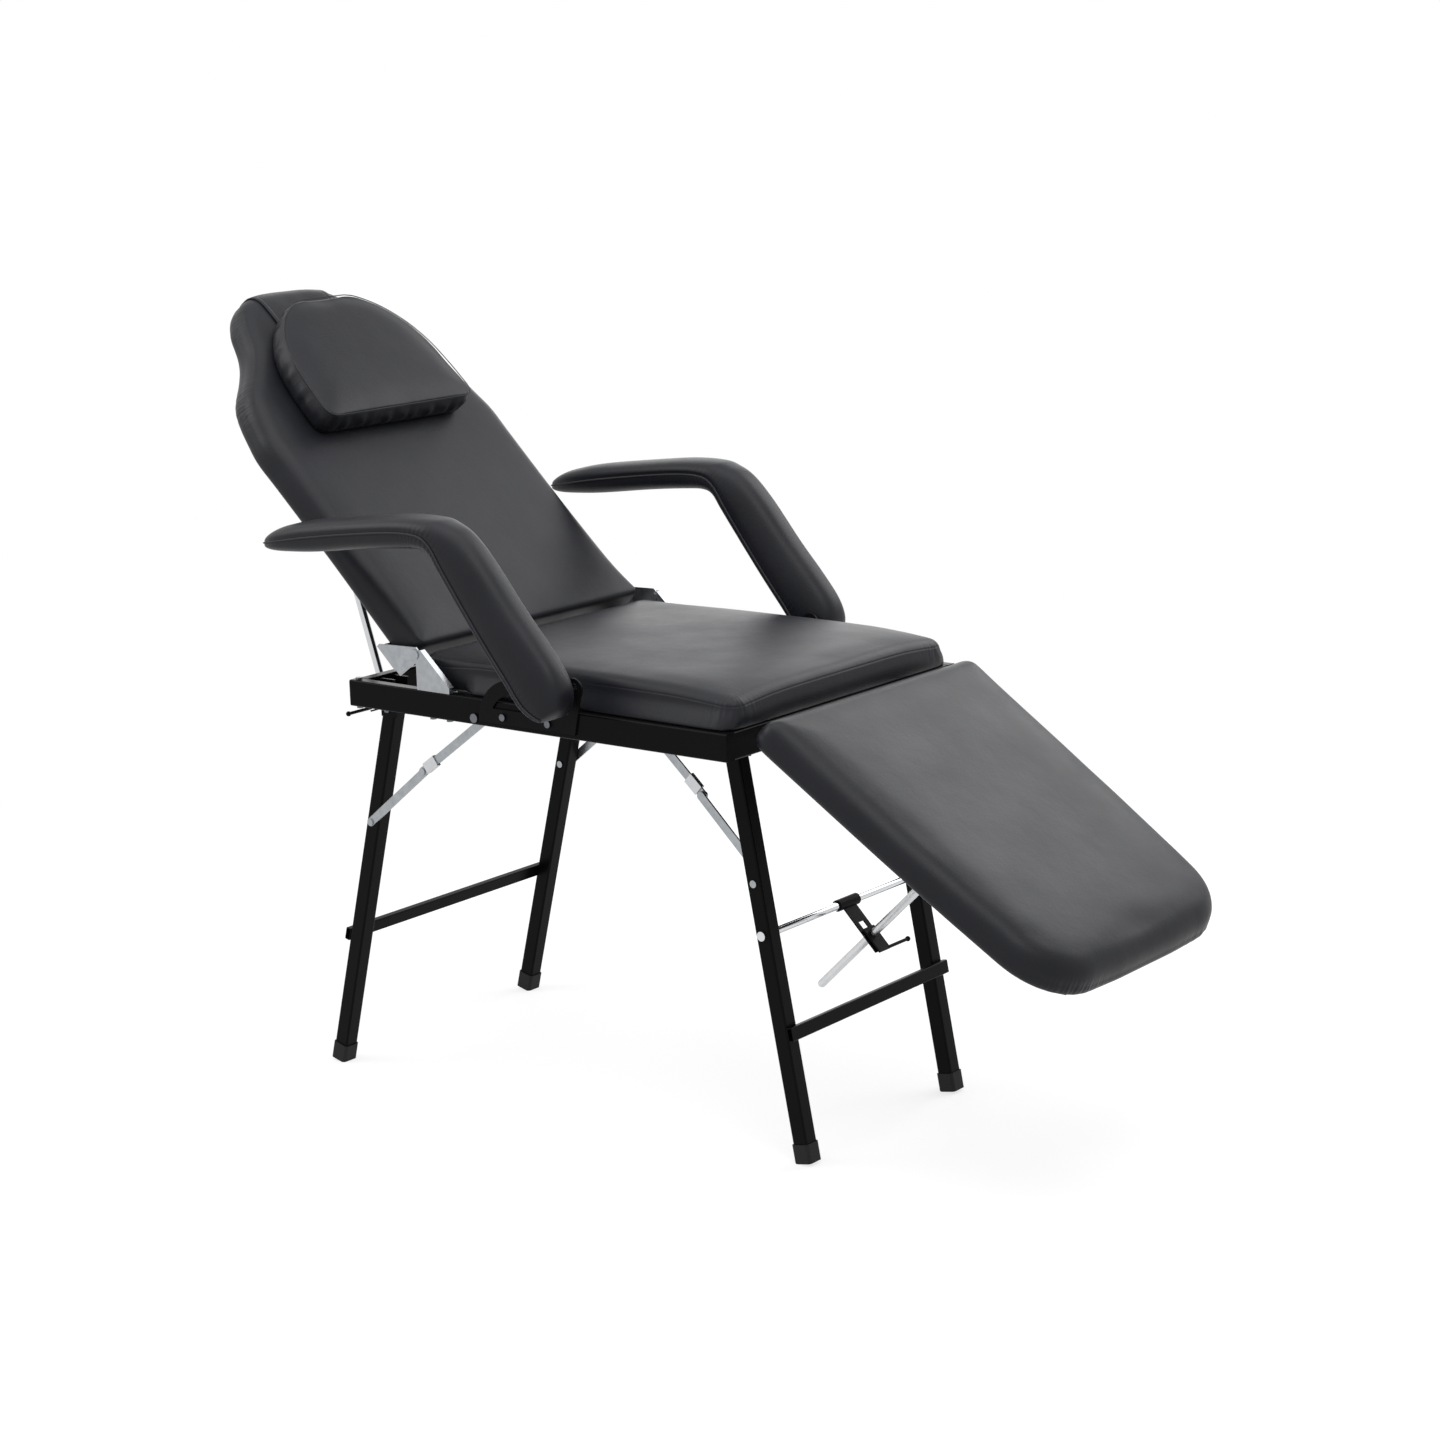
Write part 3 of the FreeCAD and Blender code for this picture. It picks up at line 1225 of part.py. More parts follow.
def make_prop_bars():
    """The bars that the clamps turn on: one between the front legs, one under the frame."""
    radius, head = dim.prop_bar_radius, dim.bolt_head_height
    x, z = into(ON_FRONT_LEGS, dim.leg_prop_bar_x, dim.leg_prop_bar_height)
    bar = doc.addObject("Part::Cylinder", "Bar")
    bind(bar, "Radius", radius)
    bar.Height = front_leg_inside * 2
    bar.Placement = FreeCAD.Placement(V(x, -front_leg_inside, z),
                                      FreeCAD.Rotation(V(0, 0, 1), V(0, 1, 0)))
    heads = []
    for low_y in (dim.front_leg_outside, -dim.front_leg_outside - head):
        cap = doc.addObject("Part::Cylinder", "BarHead")
        bind(cap, "Radius", dim.leg_bolt_radius * HEAD)
        bind(cap, "Height", head)
        cap.Placement = FreeCAD.Placement(V(x, low_y, z), FreeCAD.Rotation(V(0, 0, 1),
                                                                          V(0, 1, 0)))
        heads.append(cap)
    keep(group(bar, *heads), "leg_rest_prop_bar", ON_FRONT_LEGS)

    y, half, sheet_thick = dim.back_prop_y, dim.back_prop_bar_half, dim.cheek_thickness
    x, z = dim.back_prop_bar_x, dim.back_prop_bar_height
    pieces = [round_bar(radius, half * 2, V(0, 1, 0), x, y - half, z)]
    lug = radius + sheet_thick
    for low_y in (y - half - sheet_thick, y + half):
        pieces.append(block(lug * 2, sheet_thick, dim.rail_bottom - z, x - lug, low_y, z))
        pieces.append(round_bar(lug, sheet_thick, V(0, 1, 0), x, low_y, z))
    keep(fused(*pieces), "backrest_prop_bar", ON_FRAME)


# Stay fixings: bolts and spacers at the rear stays, lugs and rivets at the front stays

def make_rear_stay_bolts():
    thick, gap, radius = dim.stay_thickness, dim.stay_gap, dim.rivet_radius
    head, wide = dim.bolt_head_height, dim.rivet_head_radius
    x, z = dim.rear_stay_top_x, dim.rear_stay_top_height
    link_low = dim.rear_leg_outside + gap + thick + dim.knee_gap
    pieces = []
    for _, sign in SIDES:
        spans = ((radius, link_low - gap, dim.frame_half_width),
                 (wide, link_low - gap - dim.rivet_head_height, link_low - gap),
                 (radius * 2, link_low + thick + gap, rail_inside),
                 (wide * 1.25, dim.frame_half_width, dim.frame_half_width + head))
        pieces.append(fused(*across_bar(sign, x, z, *spans)))
    keep(group(*pieces), "rear_stay_bolts", ON_FRAME)


def make_front_stay_lugs():
    thick, gap, radius = dim.stay_thickness, dim.stay_gap, dim.rivet_radius
    x, z = dim.front_stay_top_x, dim.front_stay_top_height
    half, head = dim.stay_width / 2, dim.rivet_head_height
    lug_thick = dim.cheek_thickness
    link_low = front_leg_inside - gap - thick - dim.knee_gap - thick
    low = link_low - gap - lug_thick
    bar_front = dim.middle_seat_bar_x + dim.seat_bar_width / 2
    pieces = []
    for _, sign in SIDES:
        near_y = low if sign > 0 else -low - lug_thick
        web = block(x + half - bar_front, lug_thick, half * 2, bar_front, near_y, z - half)
        spans = ((radius, low, link_low + thick + gap),
                 (dim.rivet_head_radius, link_low + thick + gap,
                  link_low + thick + gap + head / 2))
        tail = block(dim.seat_bar_width, lug_thick, seat_bar_bottom - z + half,
                     bar_front - dim.seat_bar_width, near_y, z - half)
        pieces.append(fused(web, tail, *across_bar(sign, x, z, *spans)))
    keep(group(*pieces), "front_stay_lugs", ON_FRAME)


# Armrests: curved padded arms that swing on a bolt in a bracket on the rail

# Pairs of points of the armrest's side view, under and over, from its rear tip to its foot,
# counted from the pivot bolt in shares of the arm's reach behind the bolt and rise above it
ARM_UNDER_SHARES = ((-1.000, 0.719), (-0.984, 0.705), (-0.945, 0.698), (-0.887, 0.700),
                    (-0.787, 0.717), (-0.605, 0.768), (-0.465, 0.797), (-0.402, 0.800),
                    (-0.365, 0.783), (-0.335, 0.688), (-0.284, 0.489), (-0.193, 0.270),
                    (-0.120, 0.063), (-0.075, -0.080), (-0.036, -0.143), (-0.009, -0.160))
ARM_OVER_SHARES = ((-1.002, 0.732), (-0.980, 0.789), (-0.942, 0.835), (-0.895, 0.869),
                   (-0.804, 0.911), (-0.618, 0.964), (-0.473, 1.000), (-0.375, 0.998),
                   (-0.327, 0.975), (-0.269, 0.911), (-0.200, 0.759), (-0.107, 0.502),
                   (-0.033, 0.312), (0.025, 0.148), (0.049, 0.034), (0.044, -0.076))
# How much narrower the arm is at its first sections and its last
ARM_TIP_SHARES = (0.62, 0.86, 0.97)
ARM_FOOT_SHARE = 0.85
# A section's bulge against its half width, and its edge radius against its height
ARM_BULGE_SHARE = 0.08
ARM_RADIUS_SHARE = 0.45


def armrest_station(under, over, half_width, radius):
    """One cross section of an arm, between a point under it and the one over it."""
    reach, rise = dim.armrest_reach, dim.armrest_rise
    low = V(under[0] * reach, 0, under[1] * rise)
    high = V(over[0] * reach, 0, over[1] * rise)
    up = (high - low).normalize()
    height = (high - low).Length
    return section(low, up, half_width, height, dim.armrest_crown, half_width * ARM_BULGE_SHARE,
                   min(radius, height * ARM_RADIUS_SHARE))


def make_armrests():
    half, radius = dim.armrest_half_width, dim.pad_top_radius
    plain = len(ARM_UNDER_SHARES) - len(ARM_TIP_SHARES) - 1
    widths = ARM_TIP_SHARES + (1.0,) * plain + (ARM_FOOT_SHARE,)
    wires = [armrest_station(under, over, half * share, radius)
             for under, over, share in zip(ARM_UNDER_SHARES, ARM_OVER_SHARES, widths)]
    arm = loft(wires)
    for side, sign in SIDES:
        bolt = Part.makeCylinder(dim.armrest_bolt_radius + dim.armrest_bolt_clearance,
                                 dim.armrest_bolt_depth + dim.overrun,
                                 V(0, -sign * (half + dim.overrun), 0), V(0, sign, 0))
        place = frame_at(dim.armrest_pivot_x, dim.armrest_pivot_height)
        place.Base.y = sign * dim.armrest_y
        keep_shape(arm.cut(bolt), f"armrest_{side}", place)


# How far the bracket's web reaches across its round lobe
WEB_SHARE = 0.9


def make_armrest_brackets():
    """A flat plate on the rail: a half ring, and a lobe for the armrest's bolt."""
    thick = dim.bracket_thickness
    x, foot = dim.bracket_arch_x, dim.bracket_foot
    outer, inner = dim.bracket_outer_radius, dim.bracket_inner_radius
    base, lobe = dim.bracket_base_height, dim.bracket_lobe_radius
    pivot_x, pivot_z = dim.armrest_pivot_x, dim.armrest_pivot_height
    for side, sign in SIDES:
        low_y = -dim.frame_half_width - thick if sign < 0 else dim.frame_half_width
        ring = round_bar(outer, thick, V(0, 1, 0), x, low_y, foot)
        below = block(outer * 2, thick + dim.overrun * 2, outer, x - outer,
                      low_y - dim.overrun, foot - outer)
        strip = block(dim.bracket_front_x - x, thick, base, x, low_y, foot)
        outline = [(x + inner, foot), (dim.bracket_front_x, foot),
                   (pivot_x + lobe * WEB_SHARE, pivot_z), (pivot_x - lobe * WEB_SHARE, pivot_z),
                   (x + outer, foot + base)]
        web = put(slab("XZ_Plane", outline, thick), y=low_y + thick)
        nose = round_bar(lobe, thick, V(0, 1, 0), pivot_x, low_y, pivot_z)
        hollow = round_bar(inner, thick + dim.overrun * 2, V(0, 1, 0), x, low_y - dim.overrun,
                           foot)
        roof = block(inner * 2, thick + dim.overrun * 2, inner, x - inner,
                     low_y - dim.overrun, foot + base)
        bore = doc.addObject("Part::Common", "Arch")
        bore.Base, bore.Tool = hollow, roof
        holes = [round_bar(dim.bracket_screw_radius, thick * 3, V(0, 1, 0), screw_x,
                           low_y - thick, dim.bracket_screw_height)
                 for screw_x in (dim.bracket_screw_rear_x, dim.bracket_screw_front_x)]
        holes.append(round_bar(dim.armrest_bolt_radius, thick * 3, V(0, 1, 0), pivot_x,
                               low_y - thick, pivot_z))
        keep(cut(fused(ring, strip, web, nose), below, bore, *holes),
             f"armrest_bracket_{side}", ON_FRAME)


def make_armrest_bolts():
    radius, head = dim.armrest_bolt_radius, dim.bolt_head_height
    x, z = dim.armrest_pivot_x, dim.armrest_pivot_height
    plate_in, plate_out = dim.frame_half_width, dim.frame_half_width + dim.bracket_thickness
    arm_face = dim.armrest_y - dim.armrest_half_width
    washer = dim.armrest_washer_radius
    pieces = []
    for _, sign in SIDES:
        spans = ((radius, plate_in - head, arm_face + dim.armrest_bolt_depth - dim.overrun),
                 (radius * HEAD, plate_in - head, plate_in),
                 (washer, plate_out, arm_face - dim.soft_gap))
        pieces.append(fused(*across_bar(sign, x, z, *spans)))
    keep(group(*pieces), "armrest_bolts", ON_FRAME)


def make_frame_bolts():
    """Bolts through the rails at the rear corners and hinge plates, and the bracket screws."""
    pieces = []
    head, radius = dim.bolt_head_height, dim.hinge_bolt_radius
    middle = dim.frame_half_width - dim.rail_width / 2
    plate_top = rail_top + dim.hinge_sheet
    for _, sign in SIDES:
        for x, top in ((dim.corner_bolt_x, rail_top), (dim.hinge_bolt_rear_x, plate_top),
                       (dim.hinge_bolt_front_x, plate_top)):
            pieces.append(fused(
                round_bar(radius, top - dim.rail_bottom, V(0, 0, 1), x, middle * sign,
                          dim.rail_bottom),
                hexagon(radius * HEAD, head, V(0, 0, 1), x, middle * sign, top),
                hexagon(radius * HEAD, head, V(0, 0, 1), x, middle * sign,
                        dim.rail_bottom - head)))
        plate_out = dim.frame_half_width + dim.bracket_thickness
        for x in (dim.bracket_screw_rear_x, dim.bracket_screw_front_x):
            spans = ((dim.bracket_screw_radius, rail_inside, plate_out),
                     (dim.bracket_screw_radius * HEAD, plate_out, plate_out + head))
            pieces.append(fused(*across_bar(sign, x, dim.bracket_screw_height, *spans)))
    keep(group(*pieces), "frame_bolts", ON_FRAME)


make_rails()
make_cross_bars()
make_leg_pivots()
make_leg_pair("rear", dim.rear_leg_outside, dim.rear_pivot_height, dim.rear_leg_lean,
              ON_REAR_LEGS, (dim.rear_stay_foot_x, dim.rear_stay_foot_height),
              dim.rear_crossbar_along, -1)
make_leg_pair("front", dim.front_leg_outside, dim.front_pivot_height, dim.front_leg_lean,
              ON_FRONT_LEGS, (dim.front_stay_foot_x, dim.front_stay_foot_height),
              dim.front_crossbar_along, 1)
make_stays()
make_rear_stay_bolts()
make_front_stay_lugs()
make_fixed_hinge_plates()
make_moving_hinge_plates()
make_seat()
make_backrest()
make_leg_rest()
make_pillow()
make_strap()
make_leg_rest_hinges()
make_props()
make_prop_bars()
make_armrests()
make_armrest_brackets()
make_armrest_bolts()
make_frame_bolts()
doc.recompute()

for item in doc.Objects:
    if "Invalid" in item.State or "Error" in item.State:
        raise RuntimeError(f"{item.Label} ({item.Name}) did not build: {item.State}")

whole = FreeCAD.BoundBox()
for item in sub_parts:
    if item.Shape.isNull() or not item.Shape.isValid() or not item.Shape.Solids:
        raise RuntimeError(f"{item.Label} has no sound solid")
    whole.add(item.Shape.BoundBox)
    item.Shape.exportStep(f"parts/{item.Label}.step")
print(len(sub_parts), "sub-parts, box", whole)
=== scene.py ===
# %% [markdown]
# # A folding tattoo chair
# The chair has a black tube frame on folding legs, and cushions of foam under black leatherette.
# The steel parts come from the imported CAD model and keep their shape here, so this lesson only
# gives them a finish. The cushions are modelled anew, because their looks come from stretched
# cloth: soft edges, seams, piping and small wrinkles.

# %% Load the frame
import bpy
import json
import math
import numpy as np
from mathutils import Matrix, Vector
from mathutils.bvhtree import BVHTree


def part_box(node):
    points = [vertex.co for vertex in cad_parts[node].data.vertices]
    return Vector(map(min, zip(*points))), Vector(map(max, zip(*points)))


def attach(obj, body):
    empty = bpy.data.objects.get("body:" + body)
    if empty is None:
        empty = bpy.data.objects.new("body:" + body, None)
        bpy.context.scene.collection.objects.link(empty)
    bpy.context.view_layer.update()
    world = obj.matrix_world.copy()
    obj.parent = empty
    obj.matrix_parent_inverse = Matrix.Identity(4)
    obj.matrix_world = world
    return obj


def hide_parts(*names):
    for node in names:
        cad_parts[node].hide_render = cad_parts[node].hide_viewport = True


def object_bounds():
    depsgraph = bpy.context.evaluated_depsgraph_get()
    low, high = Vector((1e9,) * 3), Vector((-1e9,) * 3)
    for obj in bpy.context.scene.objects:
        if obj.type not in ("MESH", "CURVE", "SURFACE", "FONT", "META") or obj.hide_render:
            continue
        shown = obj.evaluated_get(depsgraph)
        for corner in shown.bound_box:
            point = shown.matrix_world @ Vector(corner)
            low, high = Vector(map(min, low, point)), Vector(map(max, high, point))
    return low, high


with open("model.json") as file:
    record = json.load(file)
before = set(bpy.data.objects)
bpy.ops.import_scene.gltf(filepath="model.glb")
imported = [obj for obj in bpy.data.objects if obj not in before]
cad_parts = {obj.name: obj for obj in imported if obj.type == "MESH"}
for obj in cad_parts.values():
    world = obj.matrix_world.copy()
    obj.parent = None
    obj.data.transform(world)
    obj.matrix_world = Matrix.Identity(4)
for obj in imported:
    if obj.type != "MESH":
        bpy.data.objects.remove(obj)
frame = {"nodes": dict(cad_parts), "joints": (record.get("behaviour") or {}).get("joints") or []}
CAD_BOX = [list(corner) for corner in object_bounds()]
MM = 0.001
nodes = frame["nodes"]
joint_places = {joint["name"]: np.array(joint["pos_m"]) for joint in frame["joints"]
                if "pos_m" in joint}
print("CAD box", CAD_BOX)

# %% [markdown]
# ## The camera
# The photograph was taken with a long lens from a little above the seat, so parallel edges stay
# nearly parallel. A camera can be aimed with a constraint, but here its three axes are written
# out, because the picture also leans by about a degree and a half.

# %% Camera
CAMERA_PLACE = (2.8608, -3.5333, 1.5814)
CAMERA_AZIMUTH, CAMERA_HEIGHT, CAMERA_ROLL = (math.radians(d) for d in (38.2, 12.6, -1.6))
FOCAL_LENGTH, SENSOR_WIDTH, VIEW_DEPTH = 77.8, 36, 60
backward = Vector((math.sin(CAMERA_AZIMUTH) * math.cos(CAMERA_HEIGHT),
                   -math.cos(CAMERA_AZIMUTH) * math.cos(CAMERA_HEIGHT),
                   math.sin(CAMERA_HEIGHT)))
level = Vector((math.cos(CAMERA_AZIMUTH), math.sin(CAMERA_AZIMUTH), 0))
upright = backward.cross(level)
rightward = level * math.cos(CAMERA_ROLL) + upright * math.sin(CAMERA_ROLL)
upward = upright * math.cos(CAMERA_ROLL) - level * math.sin(CAMERA_ROLL)
turn = Matrix((rightward, upward, backward)).transposed().to_4x4()
lens = bpy.data.cameras.new("camera")
lens.lens = FOCAL_LENGTH
lens.sensor_width = SENSOR_WIDTH
lens.clip_end = VIEW_DEPTH
camera = bpy.data.objects.new("camera", lens)
camera.matrix_world = Matrix.Translation(CAMERA_PLACE) @ turn
bpy.context.scene.collection.objects.link(camera)
bpy.context.scene.camera = camera
print("camera at", CAMERA_PLACE)

# %% [markdown]
# ## Measures
# Three lines in the side view carry the cushions: the seat is level, the backrest leans back
# and the leg rest slopes down. Each line starts at its joint, which the frame gives, so only the
# angles and the cushions' own sizes are written here.

# %% Measures of the cushions
RECLINE = math.radians(44)
LEG_REST_SLOPE = math.radians(33.6)
FOAM_HEIGHT = 50 * MM
HALF_WIDTH = 257 * MM
CLOTH_GRID = 9 * MM
CROWN_REACH = 60 * MM

BACK_PIVOT = joint_places["backrest_recline"]
LEG_REST_PIVOT = joint_places["leg_rest_rise"]
ARM_PIVOTS = {side: joint_places[f"armrest_{side}_swing"] for side in ("right", "left")}
SEAT_LOW, SEAT_HIGH = (np.array(corner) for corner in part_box("seat_pad"))


def placed(local, pivot, angle):
    """Points of a leaning part moved into the chair.

    A turn about the crosswise axis: x' = x cos a + z sin a, z' = z cos a - x sin a, and then
    the pivot is added.
    """
    x, y, z = local[..., 0], local[..., 1], local[..., 2]
    turned = np.stack([x * math.cos(angle) + z * math.sin(angle), y,
                       z * math.cos(angle) - x * math.sin(angle)], axis=-1)
    return turned + pivot


# %% [markdown]
# ## Making a mesh from arrays
# A surface is worked out as one array of points, and its faces as one array of corner numbers.
# Blender takes both at once, which is fast. A closed shape whose signed volume comes out
# negative is inside out, so its faces are turned round.

# %% Mesh helpers
def facing_out(points, faces):
    """Faces turned outwards: the sum of a . (b x c) over all corners is six times the volume."""
    a, b, c = (points[faces[:, k]] for k in range(3))
    volume = np.einsum("ij,ij->", a, np.cross(b, c))
    if faces.shape[1] == 4:
        d = points[faces[:, 3]]
        volume += np.einsum("ij,ij->", a, np.cross(c, d))
    return faces if volume > 0 else faces[:, ::-1]


def make_mesh(name, points, faces, caps=()):
    """A smooth mesh object from points, an array of quads and a list of end faces."""
    points = np.asarray(points, float).reshape(-1, 3)
    mesh = bpy.data.meshes.new(name)
    rows = np.asarray(faces).tolist() + [list(cap) for cap in caps]
    mesh.from_pydata(points.tolist(), [], rows)
    mesh.validate()
    mesh.polygons.foreach_set("use_smooth", np.ones(len(mesh.polygons), bool))
    mesh.update()
    made = bpy.data.objects.new(name, mesh)
    bpy.context.scene.collection.objects.link(made)
    return made


def read_points(mesh, kind="vertices", key="co"):
    """All vertex places, or their normals, as one array."""
    flat = np.empty(len(mesh.vertices) * 3, np.float32)
    getattr(mesh, kind).foreach_get(key, flat)
    return flat.reshape(-1, 3).astype(float)


def write_points(mesh, points):
    """Put changed vertex places back into a mesh."""
    mesh.vertices.foreach_set("co", np.asarray(points, np.float32).ravel())
    mesh.update()


def paint(made, **values):
    """Store one number for each vertex under a name that materials can read."""
    for name, numbers in values.items():
        layer = made.data.attributes.new(name, "FLOAT", "POINT")
        layer.data.foreach_set("value", np.asarray(numbers, np.float32))


def press(made, points, depths):
    """Points moved along their mesh's normals by a depth each."""
    return points + read_points(made.data, "vertex_normals", "vector") * depths[:, None]


def ripple(places, length, shift=0.0):
    """A wave of height one and of a length in metres: sin(2 pi x / length + shift)."""
    return np.sin(places * 2 * math.pi / length + shift)


def strip_faces(first, second):
    """Quads between two closed rings of vertex numbers."""
    return np.stack([first, np.roll(first, -1), np.roll(second, -1), second], axis=1)


def bump_at(values, centre, reach):
    """A smooth hill of height one round a centre: exp(-((v - c) / reach)^2)."""
    return np.exp(-((values - centre) / reach) ** 2)


# %% [markdown]
# ## Smooth outlines
# A cushion's plan is a closed curve through a few points. A Catmull-Rom spline passes through
# all of them and has no corners of its own, like a board cut with a jigsaw. The curve is then
# cut into equal steps, so that the cloth gets even squares.

# %% Splines through chosen points
SPLINE_STEPS = 16


def smooth_line(points):
    """A Catmull-Rom spline through an open row of points.

    Between two points p1 and p2 with neighbours p0 and p3 it is the cubic
    0.5 (2 p1 + (p2 - p0) t + (2 p0 - 5 p1 + 4 p2 - p3) t^2 + (3 p1 - p0 - 3 p2 + p3) t^3).
    """
    points = np.asarray(points, float)
    padded = np.vstack([points[:1] * 2 - points[1:2], points, points[-1:] * 2 - points[-2:-1]])
    p0, p1, p2, p3 = (padded[k:len(padded) - 3 + k, None] for k in range(4))
    t = np.linspace(0, 1, SPLINE_STEPS, endpoint=False)[None, :, None]
    curve = 0.5 * (2 * p1 + (p2 - p0) * t + (2 * p0 - 5 * p1 + 4 * p2 - p3) * t ** 2
                   + (3 * p1 - p0 - 3 * p2 + p3) * t ** 3)
    return np.vstack([curve.reshape(-1, points.shape[1]), points[-1:]])


def lengths_along(line):
    """The distance from a line's start to each of its points."""
    steps = np.linalg.norm(np.diff(line, axis=0), axis=1)
    return np.concatenate([[0], np.cumsum(steps)])


def even_steps(line, count):
    """A line cut into a number of equal steps, measured along it."""
    lengths = lengths_along(line)
    wanted = np.linspace(0, lengths[-1], count + 1)
    return np.stack([np.interp(wanted, lengths, line[:, k]) for k in range(line.shape[1])], 1)


def bend(centre, radius, start, stop):
    """Points on an arc between two angles in degrees, both ends included."""
    angles = np.radians(np.linspace(start, stop, 9))
    return np.stack([centre[0] + radius * np.cos(angles), centre[1] + radius * np.sin(angles)], 1)


# %% [markdown]
# ## A cushion as a closed form
# A foam cushion under stretched cloth has a flat back, sides that pull in a little, a rounded
# top edge and a crowned top. One way is to round a box with modifiers, but the leg rest and the
# backrest have curved plans. Here the plan is split at four corners into two long and two short
# sides, so a grid of even squares fills the top and the bottom, and rings of squares run down
# the sides between them.

# %% Cushion form
def plan_sides(half, first_split, second_split):
    """A plan's four sides from its far half, which runs from the start's middle to the end's.

    The splits are the places on the half nearest to two given points. The near half is the far
    one mirrored.
    """
    half = np.asarray(half, float)
    cuts = [int(np.argmin(np.linalg.norm(half - split, axis=1)))
            for split in (first_split, second_split)]
    mirrored = half * (1, -1)
    start = np.vstack([mirrored[:cuts[0] + 1][::-1], half[1:cuts[0] + 1]])
    far = half[cuts[0]:cuts[1] + 1]
    end = np.vstack([half[cuts[1]:], mirrored[cuts[1]:-1][::-1]])
    rows = round(lengths_along(far)[-1] / CLOTH_GRID)
    columns = round(max(lengths_along(start)[-1], lengths_along(end)[-1]) / CLOTH_GRID)
    far = even_steps(far, rows)
    return even_steps(start, columns), far, even_steps(end, columns), far[::-1] * (1, -1)


def filled_plan(sides):
    """The Coons mean of four sides: the sum of the two lofts less the bilinear one."""
    start, far, end, near = sides
    u = np.linspace(0, 1, len(start))[None, :, None]
    v = np.linspace(0, 1, len(far))[:, None, None]
    lofts = (1 - v) * start[None] + v * end[::-1][None]
    lofts = lofts + (1 - u) * near[::-1][:, None] + u * far[:, None]
    return lofts - ((1 - u) * (1 - v) * start[0] + u * (1 - v) * start[-1]
                    + (1 - u) * v * end[-1] + u * v * end[0])


def edge_radius(start, rest, reach=50 * MM):
    """An edge radius that grows from one end: r0 + (r1 - r0) (1 - exp(-(t / reach)^2))."""
    return lambda along: start + (rest - start) * (1 - bump_at(along, 0, reach))


def ring_numbers(rows, columns):
    """The numbers of a grid's border vertices, once round."""
    grid = np.arange(rows * columns).reshape(rows, columns)
    return np.concatenate([grid[0, :-1], grid[:-1, -1], grid[-1, :0:-1], grid[:0:-1, 0]]), grid


def edge_rise(depth, height, radius, crown):
    """The top's height at a depth inside the outline.

    h - r + sqrt(r^2 - (r - d)^2) + crown (1 - exp(-d / reach)): a quarter round that runs into
    a slow crown.
    """
    shy = np.clip(radius - depth, 0, None)
    return (height - radius + np.sqrt(np.clip(radius ** 2 - shy ** 2, 0, None))
            + crown * (1 - np.exp(-depth / CROWN_REACH)))


def cushion(sides, height, radius_at, crown, bulge, foot=4 * MM, side_steps=6):
    """Points and faces of a closed cushion on its back, and its outline.

    The edge radius is a function of the place along. The sides swell by bulge sin(pi s) between
    foot and edge, and the foot turns in.
    """
    plan = filled_plan(sides)
    border, grid = ring_numbers(*plan.shape[:2])
    flat = plan.reshape(-1, 2)
    outline = flat[border]
    along = np.roll(outline, -1, axis=0) - np.roll(outline, 1, axis=0)
    out = np.stack([along[:, 1], -along[:, 0]], 1)
    out /= np.linalg.norm(out, axis=1)[:, None]
    out *= np.sign(np.sum(out * (outline - outline.mean(axis=0))))
    gaps = np.linalg.norm(flat[:, None] - outline[None], axis=2)
    nearest, distance = gaps.argmin(axis=1), gaps.min(axis=1)
    radius, round_edge = radius_at(flat[:, 0]), radius_at(outline[:, 0])
    inset = min(round_edge.min(), 0.8 * CLOTH_GRID)
    inner = flat - out[nearest] * (inset * np.exp(-distance / (3 * CLOTH_GRID)))[:, None]
    depth = np.linalg.norm(inner[:, None] - outline[None], axis=2).min(axis=1)
    depth[border] = inset
    top = np.column_stack([inner, edge_rise(depth, height, radius, crown)])
    turns = np.sin(np.linspace(0, 1, 5)[1:-1] * math.pi / 2)
    steps = np.linspace(0, 1, side_steps)
    draws = np.concatenate([inset * (1 - turns), -bulge * np.sin(math.pi * steps), [foot]])
    shoulder = (height - round_edge)[None]
    levels = np.vstack([edge_rise(inset * (1 - turns[:, None]), height, round_edge[None], crown),
                        shoulder + (foot - shoulder) * steps[:, None],
                        np.zeros((1, len(outline)))])
    rings = np.concatenate([outline[None] - out[None] * draws[:, None, None],
                            levels[..., None]], axis=2)
    bottom = np.column_stack([inner, np.zeros(len(inner))])
    bottom[border, :2] = outline - out * (foot + 3 * MM)
    points = np.vstack([top, rings.reshape(-1, 3), bottom])
    under = len(flat) + len(draws) * len(border)
    ring_ids = [len(flat) + len(border) * k + np.arange(len(border)) for k in range(len(draws))]
    cells = np.stack([grid[:-1, :-1], grid[:-1, 1:], grid[1:, 1:], grid[1:, :-1]], -1)
    cells = cells.reshape(-1, 4)
    chain = [border] + ring_ids + [border + under]
    walls = [strip_faces(second, first) for first, second in zip(chain, chain[1:])]
    faces = np.vstack([cells, cells[:, ::-1] + under] + walls)
    return points, facing_out(points, faces), outline


# %% [markdown]
# ## Swelling the cloth
# Real covers are a little smaller than their foam, so the cloth lies in one tight soft curve.
# A short cloth simulation gives that: air pressure pushes the cover out, its stapled back is
# held, and no gravity acts. Each point's travel is then capped, so the cushion stays in its
# place in the chair, and evened with its neighbours' travel. After that the mesh is divided
# once more and kept, so that folds and puckers can be pressed into small squares.

# %% Cloth simulation
CLOTH_FRAMES = 20
CLOTH_FEEL = {"mass": 0.3, "tension_stiffness": 20, "compression_stiffness": 20,
              "shear_stiffness": 8, "bending_stiffness": 1.0}


